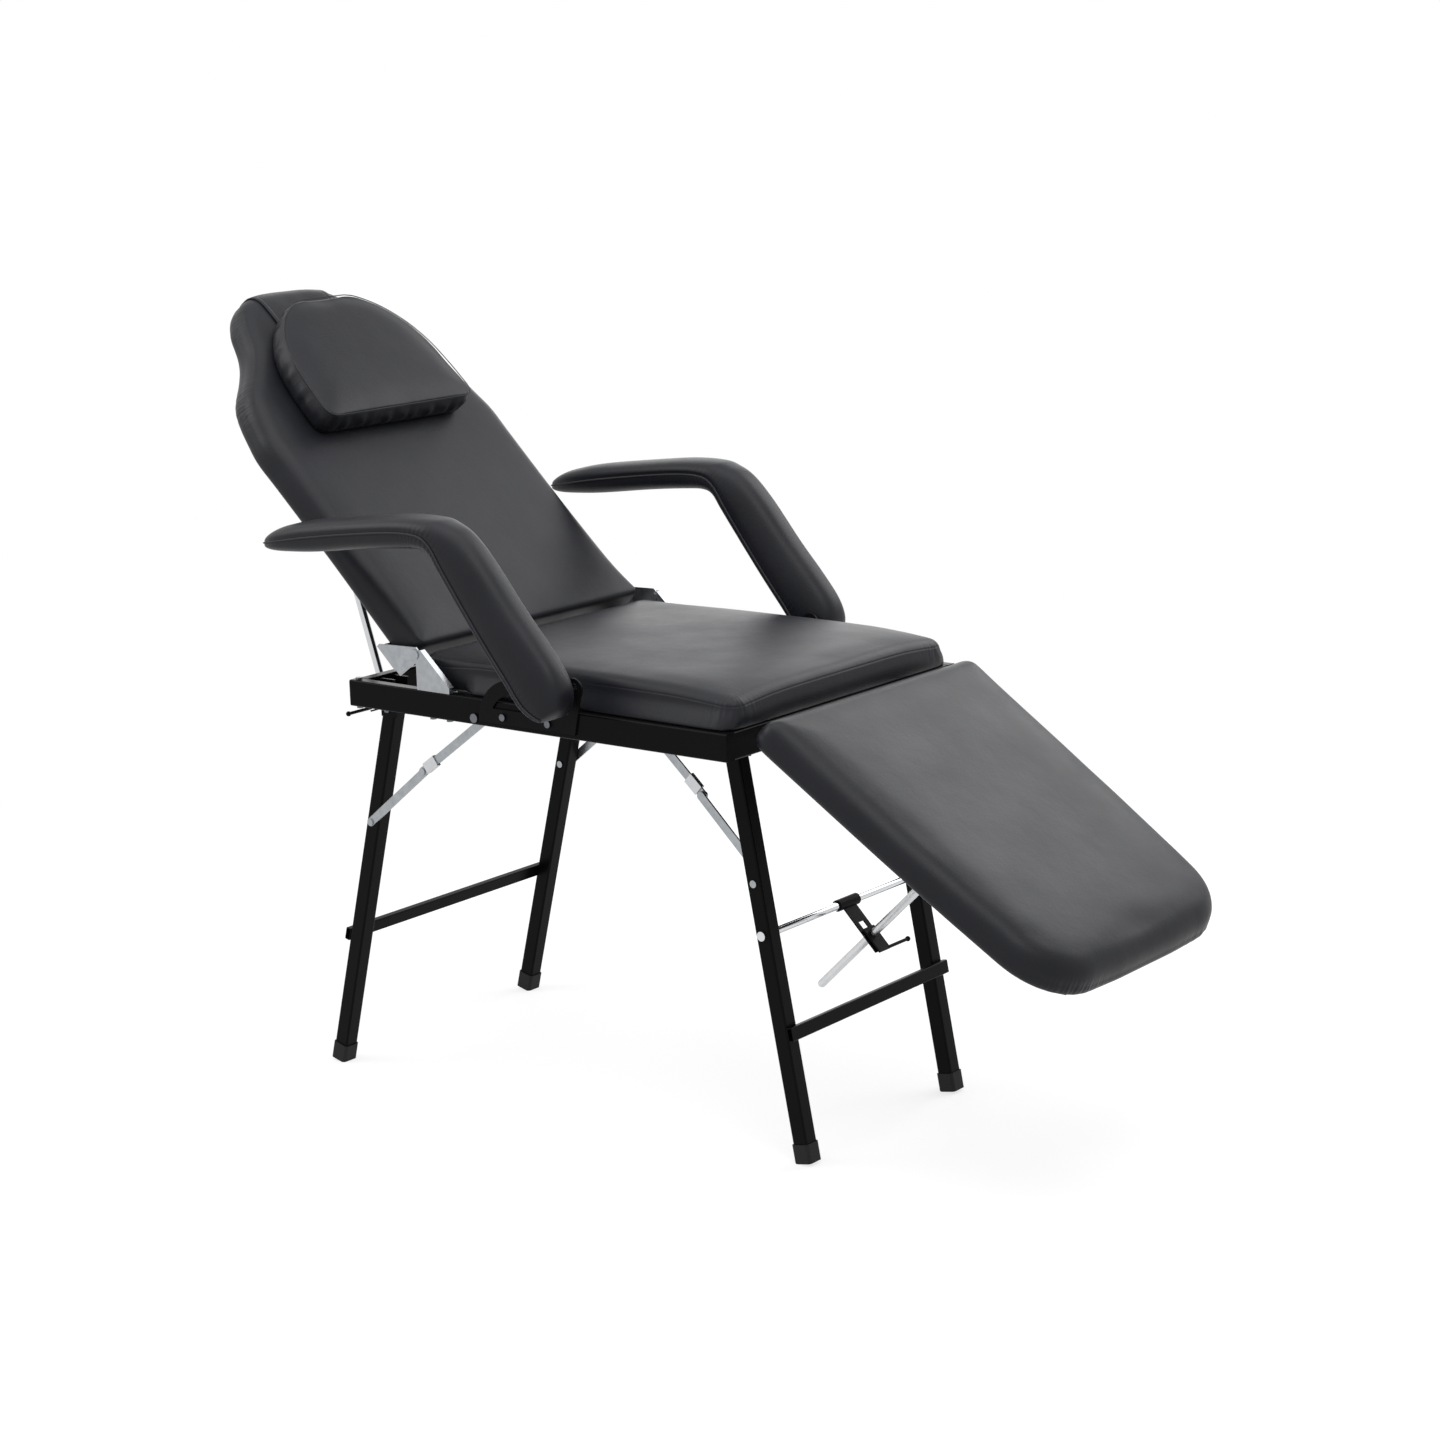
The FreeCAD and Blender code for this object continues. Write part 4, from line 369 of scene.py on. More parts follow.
def evened(mesh, move, rounds=10):
    """Each vertex's move averaged with its neighbours' a few times, which irons out creases."""
    ends = np.empty(len(mesh.edges) * 2, np.int32)
    mesh.edges.foreach_get("vertices", ends)
    first, second = ends.reshape(-1, 2).T
    share = np.bincount(ends, minlength=len(move))[:, None]
    for _ in range(rounds):
        total = np.zeros_like(move)
        np.add.at(total, first, move[second])
        np.add.at(total, second, move[first])
        move = 0.5 * move + 0.5 * total / np.maximum(share, 1)
    return move


def swell(made, held, pressure, cap, sideways):
    """Blow up a closed cover with Blender's cloth and keep the result in the mesh."""
    before = read_points(made.data)
    pins = made.vertex_groups.new(name="held")
    pins.add([int(number) for number in np.flatnonzero(held)], 1.0, "REPLACE")
    cloth = made.modifiers.new("Swell", "CLOTH")
    settings = cloth.settings
    settings.quality = 5
    for key, value in CLOTH_FEEL.items():
        setattr(settings, key, value)
    settings.use_pressure = True
    settings.uniform_pressure_force = pressure
    settings.vertex_group_mass = pins.name
    settings.effector_weights.gravity = 0
    cloth.point_cache.frame_start = 1
    cloth.point_cache.frame_end = CLOTH_FRAMES
    scene = bpy.context.scene
    for number in range(1, CLOTH_FRAMES + 1):
        scene.frame_set(number)
    shaped = made.evaluated_get(bpy.context.evaluated_depsgraph_get())
    after = read_points(shaped.data)
    made.modifiers.remove(cloth)
    made.vertex_groups.remove(pins)
    scene.frame_set(1)
    move = after - before
    length = np.linalg.norm(move, axis=1)
    print(f"{made.name}: cloth moved {length.max() / MM:.1f} mm at most, mean "
          f"{length.mean() / MM:.1f} mm")
    move *= np.minimum(1, cap / np.maximum(length, 1e-9))[:, None]
    write_points(made.data, before + evened(made.data, move) * (sideways, sideways, 1))


def smoothed(made):
    """Add a Subdivision Surface of one level, the same on screen and in a render."""
    smooth = made.modifiers.new("Smooth", "SUBSURF")
    smooth.levels = smooth.render_levels = 1
    return smooth


def divided(made):
    """Divide every square into four, keep the finer mesh and return its points."""
    smooth = smoothed(made)
    shaped = made.evaluated_get(bpy.context.evaluated_depsgraph_get())
    finer = bpy.data.meshes.new_from_object(shaped)
    made.modifiers.remove(smooth)
    old = made.data
    made.data = finer
    finer.name = old.name + "_fine"
    bpy.data.meshes.remove(old)
    return read_points(finer)


def along_outline(points, outline):
    """How far round the outline each point lies, in metres."""
    closed = np.vstack([outline, outline[:1]])
    lengths = lengths_along(closed)[:-1]
    gaps = np.linalg.norm(points[:, None, :2] - outline[None], axis=2)
    near = gaps.argmin(axis=1)
    step = np.roll(outline, -1, axis=0)[near] - np.roll(outline, 1, axis=0)[near]
    step /= np.linalg.norm(step, axis=1)[:, None]
    return lengths[near] + np.sum((points[:, :2] - outline[near]) * step, axis=1)


def covered(name, form, pressure, cap, sideways=0.2, held_below=8 * MM):
    """A cushion blown up and divided, its points, and how far round its outline they lie."""
    points, faces, outline = form
    made = make_mesh(name, points, faces)
    swell(made, points[:, 2] < held_below, pressure, cap, sideways)
    points = divided(made)
    return made, points, along_outline(points, outline)


def hand_over(made, body, stands_for):
    """Tie a finished cushion to its body and hide the CAD solid that it stands for."""
    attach(made, body)
    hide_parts(stands_for)
    print(f"{made.name}: {len(made.data.polygons)} faces")


# %% [markdown]
# ## The seat
# The seat is a square of foam on a plywood board. Its cover is pulled down at the four corners
# and stapled underneath, so the corners lie lower than the middle and the cloth gathers there
# in short upright folds. The folds are pressed in as a wave that runs round the corner and
# fades out above and below.

# %% Seat cushion
SEAT_LENGTH = SEAT_HIGH[0] - SEAT_LOW[0]
CORNER, SKIRT_START, SKIRT_OUT = 20 * MM, 85 * MM, 16 * MM
seat_line = np.array([(0.1, 257), (0.25, 256), (0.5, 254.6), (0.75, 256), (0.9, 257)])
seat_line = seat_line * (SEAT_LENGTH, MM)
seat_half = np.vstack([
    [(0, 0)], bend((CORNER, HALF_WIDTH - CORNER), CORNER, 180, 90), smooth_line(seat_line),
    bend((SEAT_LENGTH - CORNER, HALF_WIDTH - CORNER), CORNER, 90, 0), [(SEAT_LENGTH, 0)]])
split = 0.3 * CORNER
seat_sides = plan_sides(seat_half, (split, HALF_WIDTH - split),
                        (SEAT_LENGTH - split, HALF_WIDTH - split))
seat, points, round_seat = covered("seat_cushion", cushion(
    seat_sides, FOAM_HEIGHT, edge_radius(7 * MM, 16 * MM), 4 * MM, 2 * MM, foot=2 * MM),
    1.2, 4 * MM)
corner_x = np.minimum(points[:, 0], SEAT_LENGTH - points[:, 0])
corner_y = HALF_WIDTH - np.abs(points[:, 1])
to_corner = np.hypot(corner_x, corner_y)
lift = np.clip(points[:, 2] / FOAM_HEIGHT, 0, None)
front = np.clip(points[:, 0] / SEAT_LENGTH, 0, 1)
points[:, 2] -= (2 + 7 * front) * MM * lift * bump_at(to_corner, 0, 75 * MM)
points[:, 2] += 3 * MM * lift * bump_at(points[:, 0], SEAT_LENGTH / 2, 0.2)
to_edge = np.minimum(corner_x, corner_y)
gather = bump_at(to_corner, 0, 30 * MM) * bump_at(points[:, 2], 24 * MM, 20 * MM)
gather *= bump_at(to_edge, 0, 12 * MM)
wave = ripple(round_seat, 15 * MM, 1.5 * np.sin(points[:, 2] / (9 * MM)))
points = press(seat, points, gather * wave * 1.1 * MM)
skirt = (np.clip((points[:, 0] - SKIRT_START) / (25 * MM), 0, 1)
         * np.clip(1 - points[:, 2] / (30 * MM), 0, 1) ** 1.5)
at_side = np.clip(np.abs(points[:, 1]) / HALF_WIDTH * 8 - 7, 0, 1)
points[:, 1] += np.sign(points[:, 1]) * SKIRT_OUT * skirt * at_side
paint(seat, along=round_seat,
      pucker=0.5 * bump_at(to_corner, 0, 45 * MM) * bump_at(points[:, 2], 30 * MM, 14 * MM),
      seam=points[:, 2] - (FOAM_HEIGHT - 12 * MM) * (1 - 0.18 * bump_at(to_corner, 0, 75 * MM)))
write_points(seat.data, points + (SEAT_LOW[0], 0, SEAT_LOW[2]))
hand_over(seat, "frame", "seat_pad")

# %% [markdown]
# ## The backrest
# The backrest narrows in two soft steps to a round head end. Its cover has to gather round the
# inside curve of each shoulder, which shows as short puckers over the edge. The plan follows
# the board's shape from the hinge up: each pair gives the place along it and the half width.

# %% Backrest cushion
BACK_LENGTH = 723 * MM
BACK_SHARES = np.array([
    (0.055, 1.0), (0.12, 0.998), (0.3, 0.99), (0.5, 0.995), (0.58, 1.0), (0.63, 0.973),
    (0.67, 0.945), (0.705, 0.91), (0.73, 0.87), (0.755, 0.81), (0.775, 0.755), (0.795, 0.703),
    (0.825, 0.635), (0.855, 0.584), (0.885, 0.55), (0.915, 0.52), (0.94, 0.478), (0.96, 0.435),
    (0.978, 0.375), (0.99, 0.305), (0.997, 0.21), (1.0, 0.1)])
back_line = smooth_line(BACK_SHARES * (BACK_LENGTH, HALF_WIDTH))
back_start = 13 * MM
back_half = np.vstack([[(back_start, 0)],
                       bend((back_start + 10 * MM, HALF_WIDTH - 10 * MM), 10 * MM, 180, 95),
                       back_line, [(BACK_LENGTH, 0)]])
back_sides = plan_sides(back_half, (back_start + 3 * MM, HALF_WIDTH - 3 * MM),
                        (0.945 * BACK_LENGTH, 0.468 * HALF_WIDTH))
back, points, round_back = covered("backrest_cushion", cushion(
    back_sides, FOAM_HEIGHT, edge_radius(9 * MM, 26 * MM), 1.5 * MM, 1.5 * MM), 0.8, 2 * MM)
across = np.abs(points[:, 1])
shoulder = bump_at(points[:, 0], 0.72 * BACK_LENGTH, 0.05 * BACK_LENGTH)
head = 0.5 * bump_at(points[:, 0], 0.93 * BACK_LENGTH, 0.05 * BACK_LENGTH)
outline_width = np.interp(points[:, 0], back_half[:, 0], back_half[:, 1])
near_edge = bump_at(outline_width - across, 0, 16 * MM) * bump_at(points[:, 2], 24 * MM, 22 * MM)
gather = np.clip(shoulder + head, 0, 1) * near_edge
wave = ripple(round_back, 17 * MM, 1.2 * np.sin(points[:, 2] / (8 * MM)))
points = press(back, points, gather * wave * 0.4 * MM)
paint(back, along=round_back, pucker=gather * 0.5, seam=np.ones(len(points)))
back_local = points * (-1, 1, 1) - (0, 0, FOAM_HEIGHT)
write_points(back.data, back_local)
back.data.flip_normals()
back_tree = BVHTree.FromPolygons([Vector(p) for p in back_local],
                                 [tuple(face.vertices) for face in back.data.polygons])
write_points(back.data, placed(back_local, BACK_PIVOT, RECLINE))
hand_over(back, "backrest", "backrest_pad")

# %% [markdown]
# ## The leg rest
# The leg rest is the softest of the three: its cover rolls over the edge in one wide curve with
# no seam in sight, and its outer corners have a big radius.

# %% Leg rest cushion
LEG_START, LEG_END, TIP_HALF, TIP_CORNER = (v * MM for v in (6, 570, 240, 101))
leg_side = np.array([(0.08, 257), (0.45, 252), (0.7, 245)])
leg_side = leg_side * (LEG_END - LEG_START, MM) + (LEG_START, 0)
leg_half = np.vstack([
    [(LEG_START, 0)],
    bend((LEG_START + 24 * MM, HALF_WIDTH - 24 * MM), 24 * MM, 180, 92),
    smooth_line(leg_side)[:-1],
    bend((LEG_END - 2 * MM - TIP_CORNER, TIP_HALF - TIP_CORNER), TIP_CORNER, 85, 4),
    [(LEG_END, 0.3 * TIP_HALF), (LEG_END, 0)]])
split = 0.293 * TIP_CORNER
leg_sides = plan_sides(leg_half, (LEG_START + 7 * MM, HALF_WIDTH - 7 * MM),
                       (LEG_END - split, TIP_HALF - split))
leg_rest, points, round_leg = covered("leg_rest_cushion", cushion(
    leg_sides, FOAM_HEIGHT - 2 * MM, edge_radius(27 * MM, 29 * MM), 3 * MM, 1.5 * MM),
    1.2, 4 * MM)
tip = bump_at(points[:, 0], LEG_END, 60 * MM) * bump_at(points[:, 2], 14 * MM, 12 * MM)
tip = tip * bump_at(np.abs(points[:, 1]), 190 * MM, 60 * MM)
points = press(leg_rest, points, tip * ripple(round_leg, 19 * MM, 1.0) * 0.5 * MM)
paint(leg_rest, along=round_leg, pucker=tip * 0.8, seam=np.ones(len(points)))
LEG_DROP = 15.3 * MM
write_points(leg_rest.data, placed(points + (0, 0, LEG_DROP), LEG_REST_PIVOT, LEG_REST_SLOPE))
hand_over(leg_rest, "leg_rest", "leg_rest_pad")

# %% [markdown]
# ## The head pillow
# The pillow is a sewn case: a flat top panel, a strip round the side and a cord of piping in
# the seam between them. Its long straight side lies toward the seat. The strip was cut a bit
# too long, so it gathers into soft dents.

# %% Head pillow
PILLOW_START, PILLOW_LENGTH, PILLOW_HALF, PILLOW_HEIGHT = (v * MM for v in (416, 234, 163, 47))
PILLOW_BASE = 4.0 * MM
PILLOW_SHARES = np.array([(0.1, 1.0), (0.3, 0.985), (0.5, 0.945), (0.66, 0.865), (0.78, 0.76),
                          (0.88, 0.63), (0.95, 0.49), (0.985, 0.39), (1.0, 0.29)])
pillow_line = smooth_line(PILLOW_SHARES * (PILLOW_LENGTH, PILLOW_HALF) + (PILLOW_START, 0))
pillow_half = np.vstack([[(PILLOW_START, 0)],
                         bend((PILLOW_START + 20 * MM, PILLOW_HALF - 20 * MM), 20 * MM, 180, 95),
                         pillow_line, [(PILLOW_START + PILLOW_LENGTH, 0)]])
pillow_sides = plan_sides(pillow_half, (PILLOW_START + 6 * MM, PILLOW_HALF - 6 * MM),
                          (PILLOW_START + 0.93 * PILLOW_LENGTH, 0.53 * PILLOW_HALF))
pillow_form = cushion(pillow_sides, PILLOW_HEIGHT - 3 * MM, edge_radius(3 * MM, 3 * MM),
                      5 * MM, 3.5 * MM, side_steps=8)
pillow_outline = pillow_form[2]
pillow, points, round_pillow = covered("pillow_cushion", pillow_form, 0.8, 4 * MM,
                                       sideways=0.5, held_below=3 * MM)
side_band = bump_at(points[:, 2], 0.45 * PILLOW_HEIGHT, 13 * MM)
inside = np.linalg.norm(points[:, None, :2] - pillow_outline[None], axis=2).min(axis=1)
side_band = side_band * bump_at(inside, 0, 12 * MM)
dents = (ripple(round_pillow, 31 * MM) + 0.6 * ripple(round_pillow, 19 * MM, 2)
         + 0.5 * ripple(round_pillow, 47 * MM, points[:, 2] / (7 * MM)))
points = press(pillow, points, side_band * dents * 1.1 * MM)
paint(pillow, along=round_pillow, pucker=0.12 * side_band,
      seam=np.where(inside < 16 * MM, points[:, 2] - (PILLOW_HEIGHT - 6 * MM), 1.0))
pillow_local = points * (-1, 1, 1) + (0, 0, PILLOW_BASE)
write_points(pillow.data, placed(pillow_local, BACK_PIVOT, RECLINE))
pillow.data.flip_normals()
hand_over(pillow, "pillow", "head_pillow")

# %% [markdown]
# ## Piping
# Piping is a thin cord wrapped in the same leatherette and sewn into a seam. It is made as a
# tube: a small circle carried along the seam's line, closed in a ring or with round ends.

# %% Piping along a line
PIPING_SIDES = 8
PILLOW_CORD, ARM_CORD = 0.8 * MM, 1.4 * MM
PILLOW_CORD_STEPS = 260
PILLOW_SEAM = PILLOW_HEIGHT - 3.2 * MM


def tube(path, radius, closed=False):
    """A tube round a path: p + r (cos a * side + sin a * up), with capped or joined ends."""
    path = np.asarray(path, float)
    if closed:
        ahead = np.roll(path, -1, axis=0) - np.roll(path, 1, axis=0)
    else:
        ahead = np.gradient(path, axis=0)
    ahead /= np.linalg.norm(ahead, axis=1)[:, None]
    side = np.cross(ahead, (0.13, 0.21, 0.97))
    side /= np.linalg.norm(side, axis=1)[:, None]
    up = np.cross(side, ahead)
    radii = np.full(len(path), float(radius))
    if not closed:
        path = np.vstack([path[0] - ahead[0] * radius, path, path[-1] + ahead[-1] * radius])
        side, up = (np.vstack([v[:1], v, v[-1:]]) for v in (side, up))
        radii = np.concatenate([[radius * 0.3], radii, [radius * 0.3]])
    angles = np.linspace(0, 2 * math.pi, PIPING_SIDES, endpoint=False)
    points = (path[:, None] + radii[:, None, None]
              * (np.cos(angles)[None, :, None] * side[:, None]
                 + np.sin(angles)[None, :, None] * up[:, None]))
    rows = np.arange(len(path) * PIPING_SIDES).reshape(-1, PIPING_SIDES)
    follow = np.vstack([rows, rows[:1]]) if closed else rows
    faces = np.vstack([strip_faces(a, b) for a, b in zip(follow, follow[1:])])
    points = points.reshape(-1, 3)
    outward = facing_out(points - points.mean(axis=0), faces)
    caps = [] if closed else [rows[0][::-1], rows[-1]]
    if outward is not faces:
        caps = [cap[::-1] for cap in caps]
    return points, outward, caps


def cord(name, body, points, faces, caps):
    """A finished cord of piping that rides on a body."""
    made = make_mesh(name, points, faces, caps)
    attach(made, body)
    print(f"{name}: {len(faces)} faces")
    return made


line = even_steps(np.vstack([pillow_outline, pillow_outline[:1]]), PILLOW_CORD_STEPS)[:-1]
line = np.column_stack([line * (-1, 1), np.full(len(line), PILLOW_BASE + PILLOW_SEAM)])
points, faces, caps = tube(line, PILLOW_CORD, closed=True)
cords = [cord("pillow_piping", "pillow", placed(points, BACK_PIVOT, RECLINE), faces, caps)]

# %% [markdown]
# ## The strap
# A broad strap of doubled leatherette runs from under the pillow over the head end and down
# behind the backrest. It lies flat on the cushion, so its line is found by casting rays onto
# the finished cushion from all round the head end, and its two faces stand that far off. It is
# a sheet of cloth with a hem, stretched round the form.

# %% Strap
STRAP_HALF, STRAP_THICK, SKIN_GAP = 76 * MM, 2.0 * MM, 0.6 * MM
STRAP_FRONT, STRAP_BACK, STRAP_TURN = 545 * MM, 560 * MM, BACK_LENGTH - 24 * MM
FAN_REACH = 100 * MM
across_steps = np.linspace(-STRAP_HALF, STRAP_HALF, 39)
front_run = np.linspace(STRAP_FRONT, STRAP_TURN, 36)
fan = np.radians(np.linspace(90, -90, 27))[1:-1]
back_run = np.linspace(STRAP_TURN, STRAP_BACK, 24)
middle = -FOAM_HEIGHT / 2
starts = np.vstack([
    np.column_stack([-front_run, np.full(len(front_run), FAN_REACH)]),
    np.column_stack([-STRAP_TURN - FAN_REACH * np.cos(fan), middle + FAN_REACH * np.sin(fan)]),
    np.column_stack([-back_run, np.full(len(back_run), -1.5 * FAN_REACH)])])
aims = np.vstack([np.tile((0, -1), (len(front_run), 1)),
                  np.column_stack([np.cos(fan), -np.sin(fan)]),
                  np.tile((0, 1), (len(back_run), 1))])


def strap_row(y):
    """Where the rays of one lengthwise row meet the cushion, in the backrest's side view."""
    row = []
    for start, aim in zip(starts, aims):
        hit = back_tree.ray_cast(Vector((start[0], y, start[1])), Vector((aim[0], 0, aim[1])))[0]
        row.append((hit.x, y, hit.z) if hit is not None else (np.nan, y, np.nan))
    return row


inner = np.array([strap_row(float(y)) for y in across_steps])
for part in inner:
    good = ~np.isnan(part[:, 0])
    for k in (0, 2):
        part[:, k] = np.interp(np.arange(len(part)), np.flatnonzero(good), part[good, k])
for _ in range(3):
    inner[:, 1:-1] = (inner[:, :-2] + inner[:, 1:-1] * 2 + inner[:, 2:]) / 4
down = np.gradient(inner, axis=1)
outward = np.stack([down[..., 2], np.zeros(down.shape[:2]), -down[..., 0]], -1)
outward /= np.linalg.norm(outward, axis=2)[..., None]
centre = np.array([-(BACK_LENGTH - 60 * MM), 0, middle])
outward *= np.sign(np.sum(outward * (inner - centre) * (1, 0, 1), axis=2))[..., None]
hem = bump_at(np.abs(across_steps), STRAP_HALF - 1.5 * MM, 3 * MM)[:, None, None] * 0.5 * MM
low_face = inner + outward * SKIN_GAP
high_face = inner + outward * (SKIN_GAP + STRAP_THICK + hem)
loop = np.concatenate([low_face, high_face[::-1]])
rows = np.arange(loop.shape[0] * loop.shape[1]).reshape(loop.shape[:2]).T
faces = np.vstack([strip_faces(a, b) for a, b in zip(rows, rows[1:])])
strap_points = loop.reshape(-1, 3)
half_count = len(across_steps)
caps = [np.stack([row[:half_count - 1], row[1:half_count], row[::-1][1:half_count],
                  row[::-1][:half_count - 1]], 1) for row in (rows[0], rows[-1])]
faces = np.vstack([faces, caps[0][:, ::-1], caps[1]])
strap = make_mesh("strap_band", placed(strap_points, BACK_PIVOT, RECLINE),
                  facing_out(strap_points, faces))
stitch = np.tile(np.abs(np.concatenate([across_steps, across_steps[::-1]]))[:, None],
                 (1, loop.shape[1]))
run = np.tile(lengths_along(inner[half_count // 2])[None], (loop.shape[0], 1))
paint(strap, along=run.ravel(), pucker=np.zeros(len(strap_points)),
      seam=(stitch - (STRAP_HALF - 8 * MM)).ravel())
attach(strap, "backrest")
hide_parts("pillow_strap")

# %% [markdown]
# ## The armrests
# Each armrest is a bent foam log with two panels of leatherette: a domed one over the top and a
# flatter one beneath, with piping in the seam between them on both sides. It could be swept
# along a curve, but its height changes all the way, so it is lofted: two smooth lines in the
# side view give the bottom and the top of each section, and the section is two half ovals that
# meet at the seam, |cos a|^p wide and |sin a|^q high.

# %% Armrest lines
ARM_UNDER = [(-549, 172), (-541, 167), (-520, 165), (-488, 166), (-433, 170), (-333, 182),
             (-256, 189), (-222, 190), (-200, 183), (-182, 160), (-152, 121), (-106, 62),
             (-66, 13), (-41, -19), (-20, -33), (-6, -37.5)]
ARM_OVER = [(-551, 174), (-539, 187), (-518, 198), (-492, 206), (-442, 216), (-340, 228.5),
            (-260, 236.5), (-206, 236.5), (-180, 231), (-148, 216), (-110, 180), (-59, 119),
            (-18, 74), (14, 35), (25, 6), (20, -17)]
ARM_WIDTHS = [0.2, 0.6, 0.84, 0.95, 0.99, 1, 1, 1, 1, 1, 1, 1, 1, 0.98, 0.92, 0.8]
ARM_SEAM = [0.5, 0.45, 0.46, 0.48, 0.52, 0.54, 0.54, 0.5, 0.38, 0.26, 0.21, 0.19, 0.18, 0.17,
            0.18, 0.22]
ARM_HALF, ARM_ASIDE = 37.5 * MM, 327 * MM
ARM_STEPS = 110
SECTION_STEPS = 14

arm_table = np.column_stack([np.array(ARM_UNDER) * MM, np.array(ARM_OVER) * MM,
                             np.array(ARM_WIDTHS) * ARM_HALF, ARM_SEAM])
arm_lines = even_steps(smooth_line(arm_table), ARM_STEPS)
low, high = arm_lines[:, 0:2], arm_lines[:, 2:4]
width, seam_share = arm_lines[:, 4:5], arm_lines[:, 5:6]
rise = high - low
seam_line = low + rise * seam_share

# %% Armrest sections
over_turn = np.linspace(0, math.pi, SECTION_STEPS * 2 + 1)[None]
under_turn = np.linspace(math.pi, 2 * math.pi, SECTION_STEPS + 1)[None, 1:-1]


def half_oval(turn, wide_power, high_power):
    """Across and up for one half of a section, both from -1 to 1."""
    c, s = np.cos(turn), np.sin(turn)
    return np.sign(c) * np.abs(c) ** wide_power, np.sign(s) * np.abs(s) ** high_power


over_y, over_up = half_oval(over_turn, 0.8, 0.8)
under_y, under_up = half_oval(under_turn, 0.55, 0.7)
section_y = np.concatenate([over_y, under_y], axis=1)[..., None] * width[:, None]
up_share = np.concatenate([seam_share + (1 - seam_share) * over_up,
                           seam_share + seam_share * under_up], axis=1)[..., None]
side_view = low[:, None] + rise[:, None] * up_share
arm_grid = np.concatenate([side_view[..., :1], section_y, side_view[..., 1:]], axis=-1)
seam_gap = np.abs(up_share[..., 0] - seam_share) * np.linalg.norm(rise, axis=1)[:, None]
at_side = np.abs(section_y[..., 0]) / width > 0.8
pinch = np.where(at_side, bump_at(seam_gap, 0, 3.5 * MM), 0) * 1.3 * MM
arm_grid[..., 1] -= np.sign(section_y[..., 0]) * pinch
print("arm grid", arm_grid.shape)

# %% [markdown]
# The two ends are closed with a pole each: the tip runs to a point where the panels meet, and
# the foot is folded in like the end of a parcel.

# %% Armrest covers and piping
def arm_cover(side, sign):
    """One padded arm, with its attributes, and two cords of piping."""
    body = f"armrest_{side}"
    place = ARM_PIVOTS[side] * (1, 0, 1) + (0, sign * ARM_ASIDE, 0)
    count, ring = arm_grid.shape[:2]
    tip_pole = arm_grid[0].mean(axis=0) + (-1.5 * MM, 0, 0)
    foot_pole = arm_grid[-1].mean(axis=0) + (2 * MM, 0, -3 * MM)
    foot_ring = arm_grid[-1] * 0.5 + foot_pole * 0.5 + (0.5 * MM, 0, -1 * MM)
    cover = np.vstack([arm_grid.reshape(-1, 3), foot_ring, tip_pole[None], foot_pole[None]])
    rows = np.arange((count + 1) * ring).reshape(count + 1, ring)
    quads = np.vstack([strip_faces(a, b) for a, b in zip(rows, rows[1:])])
    quads_out = facing_out(cover - cover.mean(axis=0), quads)
    fans = [np.stack([np.full(ring, pole), border, np.roll(border, -1)], 1)
            for border, pole in ((rows[0][::-1], len(cover) - 2), (rows[-1], len(cover) - 1))]
    fans = np.vstack(fans) if quads_out is quads else np.vstack(fans)[:, ::-1]
    made = make_mesh(f"armrest_cover_{side}", cover + place, quads_out, fans)
    along = np.tile(lengths_along(seam_line)[:, None], (1, ring))
    along = np.concatenate([along.ravel(), np.full(ring + 1, along.max()), [along.max()]])
    bend_place = bump_at(along, 0.36, 0.05) + bump_at(along, 0.0, 0.03) + bump_at(along, 0.62, 0.05)
    gap = np.concatenate([np.where(at_side, seam_gap, 1).ravel(), np.ones(ring + 2)])
    paint(made, along=along, pucker=np.clip(bend_place, 0, 1) * np.exp(-gap / (9 * MM)),
          seam=np.clip(gap - 4 * MM, 0, 1))
    smoothed(made)
    hand_over(made, body, body)
    for face, name in ((-1, "outer"), (1, "inner")):
        seam = np.column_stack([seam_line[:, :1], face * (width - 0.3 * MM), seam_line[:, 1:]])
        points, faces, caps = tube(seam, ARM_CORD)
        cords.append(cord(f"armrest_piping_{name}_{side}", body, points + place, faces, caps))
    return made


arms = [arm_cover("right", -1), arm_cover("left", 1)]

# %% [markdown]
# ## Building materials
# Each finish is a small node tree. Colours are written as on a screen, in sRGB hex, and one
# function turns them to the linear values that the shader works in. Others add a node each or
# a few, so that a material reads like a list of its layers.

# %% Material helpers
def colour(code):
    """sRGB hex to linear: c / 12.92 up to 0.04045, and ((c + 0.055) / 1.055) ^ 2.4 above."""
    parts = [int(code[k:k + 2], 16) / 255 for k in (1, 3, 5)]
    return (*[c / 12.92 if c <= 0.04045 else ((c + 0.055) / 1.055) ** 2.4 for c in parts], 1.0)


def add_node(tree, kind, settings=None, links=None):
    """Add a node; settings are its options or socket values, links go into its sockets."""
    node = tree.nodes.new(kind)
    for key, value in (settings or {}).items():
        if isinstance(key, str) and hasattr(node, key):
            setattr(node, key, value)
        else:
            node.inputs[key].default_value = value
    for key, source in (links or {}).items():
        tree.links.new(source, node.inputs[key])
    return node


def new_material(name, **values):
    """A material with its shader's fixed numbers and colours set on the shader itself."""
    material = bpy.data.materials.new(name)
    material.use_nodes = True
    tree = material.node_tree
    shader = tree.nodes["Principled BSDF"]
    for key, value in values.items():
        shader.inputs[key.replace("_", " ")].default_value = value
    place = add_node(tree, "ShaderNodeTexCoord").outputs["Object"]
    return material, tree, shader, place


def noise(tree, place, size, detail, **settings):
    """Soft noise whose lumps have a size in millimetres."""
    return add_node(tree, "ShaderNodeTexNoise",
                    {"Scale": 1 / (size * MM), "Detail": detail, **settings},
                    {"Vector": place}).outputs["Fac"]


def reckoned(tree, operation, *terms):
    """What a Math node gives: numbers are set on its sockets, and other outputs are linked."""
    numbers = {k: term for k, term in enumerate(terms) if isinstance(term, (int, float))}
    links = {k: term for k, term in enumerate(terms) if k not in numbers}
    return add_node(tree, "ShaderNodeMath", {"operation": operation, **numbers}, links).outputs[0]


